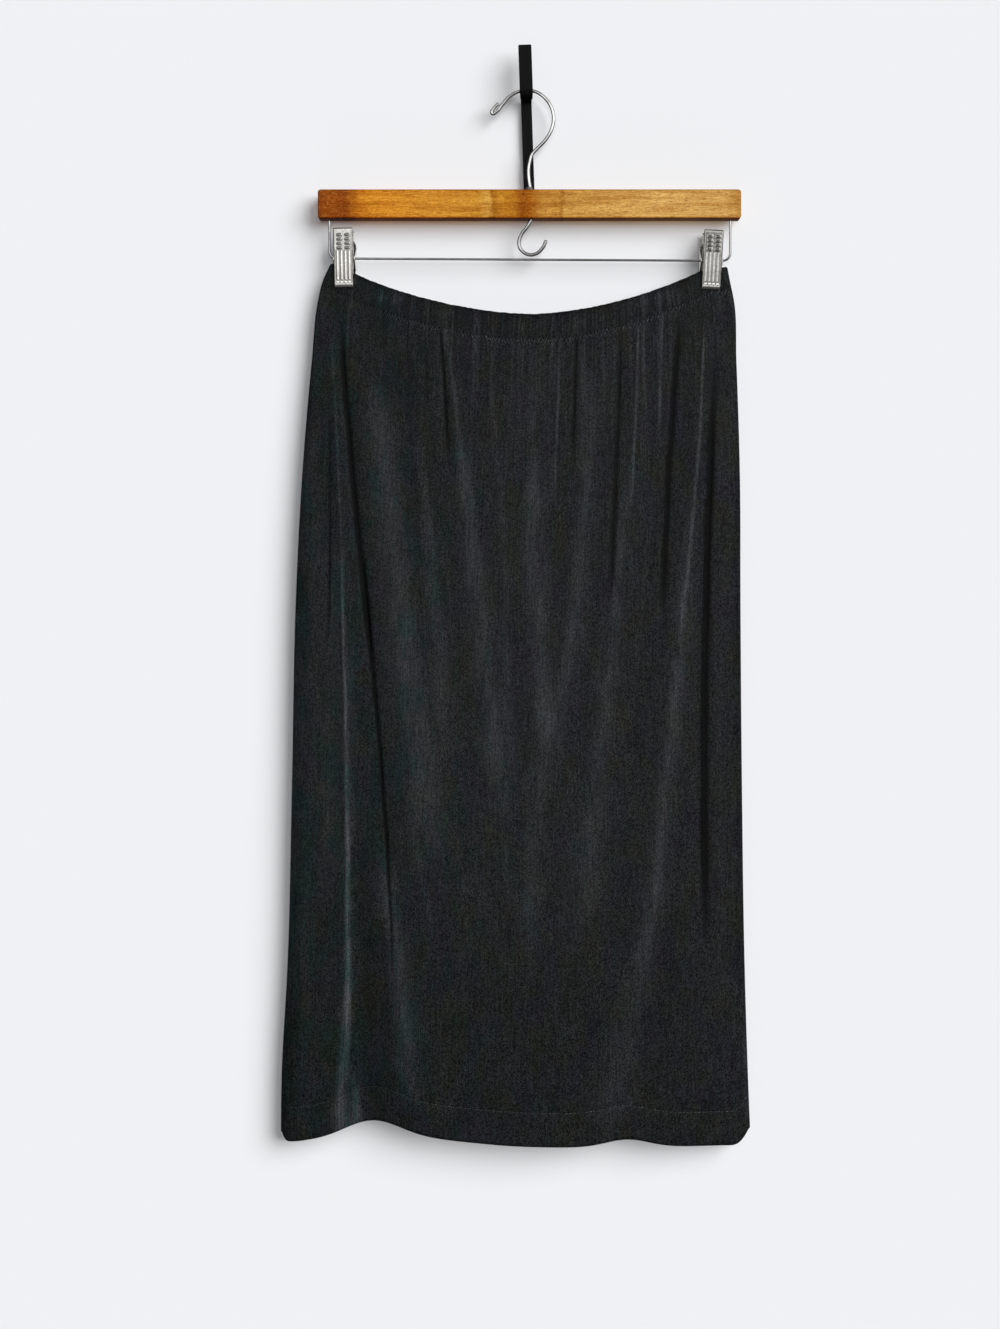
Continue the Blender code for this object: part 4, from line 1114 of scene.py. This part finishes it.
# ---- Stitches ---------------------------------------------------------------------------------
# Grey-black overlock thread: a zigzag round the casing's lower edge, which gives with the elastic,
# and a row of straight stitches round the hem.
THREAD_RADIUS = 0.2 * MM
ZIGZAG_STEP, ZIGZAG_HIGH = 1.45 * MM, 0.85 * MM
ZIGZAG_OFF, ZIGZAG_BOW, ZIGZAG_SEED = 0.22 * MM, 0.25 * MM, 31
HEM_STITCH, HEM_STITCH_GAP, HEM_WIDE = 2.6 * MM, 0.7 * MM, 390 * MM
STITCHED_WAIST, STITCHED_HEM, STITCHED_SHARE = 345 * MM, 385 * MM, 0.985
thread = Finish("dark_grey_thread", (0.075, 0.078, 0.085), roughness=0.5, specular=0.2)
# painted glints: random light flecks on the thread
painted_glints = thread.ramp(
    thread.noise((0.0016, 0.0016, 0.0016), detail=2),
    [(0.42, (0.02, 0.021, 0.023)), (0.55, (0.05, 0.052, 0.055)), (0.7, (0.2, 0.205, 0.215))],
)
thread.set(
    # the thread is made darker towards the left
    Base_Color=thread.mix(thread.along("X", -0.13, -0.06, 0.9, 0), painted_glints, (0.014, 0.015, 0.016)),
    Normal=thread.bump(thread.noise((0.0003, 0.0003, 0.0003), detail=1), 0.0001, 0.5),
)


def on_cloth(part, side, row, u):
    """Points of a cloth's face at whole or part rows and at places u: the four nearest points of its
    grid, weighted by nearness."""
    places, face = faces[part, side]
    column = np.interp(u, places, np.arange(len(places)))
    i = np.clip(row.astype(int), 0, face.shape[0] - 2)
    j = np.clip(column.astype(int), 0, face.shape[1] - 2)
    a, b = (row - i)[:, None], (column - j)[:, None]
    upper = face[i, j] * (1 - b) + face[i, j + 1] * b
    lower = face[i + 1, j] * (1 - b) + face[i + 1, j + 1] * b
    return upper * (1 - a) + lower * a


def sewn(name, points, radius):
    """Threads along rows of points, as one piece."""
    rings = carried(points, (0, 1, 0.2), ring_section(radius, sides=6))
    piece = skin(name, rings, thread, sharp=70)
    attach(piece, "root")
    return piece


def zigzag(side, layer):
    """The zigzag: by turns a point on the casing and one on the panel, a little off the cloth, with the
    thread bowed out between them. The casing's rows lie closer together here, at its lower edge."""
    count = int(STITCHED_WAIST / ZIGZAG_STEP)
    chance = np.random.default_rng(ZIGZAG_SEED + side)
    u = np.linspace(-STITCHED_SHARE, STITCHED_SHARE, count)
    u = u + chance.uniform(-0.25, 0.25, count) * 2 * STITCHED_SHARE / count
    high = ZIGZAG_HIGH * chance.uniform(0.7, 1.2, count)
    row_height = BAND_MIDDLE_HEIGHT / BAND_ROWS * 0.35
    upper = on_cloth("band", side, BAND_ROWS - 1 - high / row_height, u)
    lower = on_cloth("panel", side, 1 + high / MM, u)
    points = np.where((np.arange(count) % 2 == 0)[:, None], upper, lower)
    points[:, 1] += side * ZIGZAG_OFF
    line = np.empty((2 * count - 1, 3))
    line[::2], line[1::2] = points, (points[:-1] + points[1:]) / 2
    line[1::2, 1] += side * ZIGZAG_BOW
    path, inset = round_ends(line, THREAD_RADIUS, steps=3)
    return sewn(f"waistband_{layer}_zigzag", path, THREAD_RADIUS - inset)


def hem_stitches(side, layer):
    """Straight stitches round the hem: short rounded threads, 0.18 mm off the cloth in the middle and
    dipping in by 0.3 mm at their ends."""
    count = int(STITCHED_HEM / (HEM_STITCH + HEM_STITCH_GAP))
    middles = np.linspace(-STITCHED_SHARE, STITCHED_SHARE, count)
    t = np.linspace(-1, 1, 7)
    u = (middles[:, None] + t * HEM_STITCH / HEM_WIDE).ravel()
    row = np.full(len(u), PANEL_ROWS + HEM_STEPS.index(0))
    points = on_cloth("panel", side, row, u).reshape(count, 7, 3)
    points[..., 1] += side * MM * (0.18 - 0.3 * t**4)
    return sewn(f"skirt_{layer}_hem_stitches", points, THREAD_RADIUS * np.sqrt(1 - (0.98 * t) ** 6))


for layer, side in SIDES.items():
    waist_thread, hem_thread = zigzag(side, layer), hem_stitches(side, layer)

# ---- Room -------------------------------------------------------------------------------------
# A plain white wall that the hook's plate lies on, a pale floor, and soft studio light: a key from the
# front right, and weaker lights from the front, the left, behind and below. The wall shows only from
# its front.
WALL_Y, WALL_HIGH, FLOOR_Z, ROOM_WIDE = 0.0005, 2.8, -1.6, 4


def plane(name, corner, wide, high, finish):
    """One flat face from a corner along two edges, left out of the object."""
    corner, wide, high = Vector(corner), Vector(wide), Vector(high)
    mesh = bpy.data.meshes.new(name)
    mesh.from_pydata([corner, corner + wide, corner + wide + high, corner + high], [], [(0, 1, 2, 3)])
    mesh.materials.append(finish.material)
    made = put(name, mesh)
    return made


wall_paint = Finish("white_wall_paint", (0.8, 0.8, 0.8), roughness=0.9, specular=0)
glow = wall_paint.add("Emission", {"Color": (0.97, 0.98, 1, 1), "Strength": 0.066}).outputs[0]
coat = wall_paint.add("BsdfDiffuse", {"Color": (0.742, 0.75, 0.768, 1)}).outputs[0]
lit = wall_paint.add("AddShader", {0: glow, 1: coat}).outputs[0]
clear = wall_paint.add("BsdfTransparent").outputs[0]
behind = wall_paint.add("NewGeometry").outputs["Backfacing"]
faced = wall_paint.add("MixShader", {0: behind, 1: lit, 2: clear}).outputs[0]
wall_paint.give(wall_paint.tree.nodes["Material Output"], {"Surface": faced})
room_left = -ROOM_WIDE / 2
corner = (room_left, WALL_Y, FLOOR_Z)
wall = plane("room_wall", corner, (ROOM_WIDE, 0, 0), (0, 0, WALL_HIGH), wall_paint)
wall.visible_diffuse = wall.visible_glossy = wall.visible_shadow = wall.visible_transmission = False

floor_paint = Finish("pale_floor", (0.72, 0.72, 0.72), roughness=0.8, specular=0.1)
floor_paint.set(Emission_Color=(1, 1, 1, 1), Emission_Strength=0.35)
corner = (room_left, room_left, FLOOR_Z)
ground = plane("room_floor", corner, (ROOM_WIDE, 0, 0), (0, ROOM_WIDE, 0), floor_paint)
ground.visible_diffuse = ground.visible_glossy = ground.visible_shadow = False

scene = bpy.context.scene
scene.view_settings.view_transform = "Standard"
scene.world = bpy.data.worlds.new("studio")
scene.world.use_nodes = True

# The room is dim for matt surfaces, plain white for the eye, and in shiny ones it is light in front,
# dark at the sides and behind, and bright where the softboxes are, two in front and one behind.
DIM_ROOM, WHITE_ROOM = (0.07, 0.07, 0.07), (0.875, 0.885, 0.905)
SOFTBOXES = (
    # way towards it, how near a reflection is to that way at its edge and at its core, brightness
    ((0.6, -0.74, 0.27), 0.88, 0.96, 3.6),
    ((-0.38, -0.91, 0.17), 0.86, 0.97, 2.6),
    ((0.2, 0.8, 0.56), 0.6, 0.97, 1.5),
)
sky = Nodes(scene.world.node_tree)
rays = sky.add("LightPath").outputs
way = sky.add("TexCoord").outputs["Generated"]
mirrored = sky.ramp(
    sky.remap(sky.add("SeparateXYZ", {"Vector": way}).outputs["Y"], -1, 1),
    [(0.28, (0.36, 0.36, 0.365)), (0.48, (0.03, 0.03, 0.032)), (0.95, (0.06, 0.06, 0.062))],
)
for toward, edge, core, bright in SOFTBOXES:
    near = sky.add("VectorMath", {0: way, 1: unit(np.array(toward))}, operation="DOT_PRODUCT")
    mirrored = sky.mix(1, mirrored, sky.remap(near.outputs["Value"], edge, core, 0, bright), "ADD")
shown = sky.mix(rays["Is Glossy Ray"], DIM_ROOM, mirrored)
shown = sky.mix(rays["Is Camera Ray"], shown, WHITE_ROOM)
sky.give(sky.tree.nodes["Background"], {"Color": shown})

LIGHTS = (
    # even light as from a wide softbox: name, way towards it, spread in degrees, strength
    ("key_light", (0.6, -0.72, 0.33), 46, 3.5),
    ("front_light", (0.04, -1, 0.06), 20, 0.62),
    ("bounce_light", (-0.85, 0.5, 0.1), 40, 2),
    ("back_light", (-0.2, 1, 0.15), 30, 1.5),
    ("floor_light", (0.05, -0.08, -1), 30, 0.5),
)
for name, toward, spread, strength in LIGHTS:
    lamp = bpy.data.lights.new(name, "SUN")
    lamp.energy, lamp.angle = strength, math.radians(spread)
    sun = put(name, lamp)
    sun.rotation_euler = Vector(toward).to_track_quat("Z", "Y").to_euler()
    sun.visible_glossy = False

lens = bpy.data.cameras.new("camera")
lens.lens, lens.sensor_width, lens.sensor_fit = 58.04, 36, "AUTO"
camera = put("camera", lens)
camera.location = (-0.0238, -1.8205, -0.4305)
camera.rotation_euler = (math.radians(90), 0, 0)
scene.camera = camera
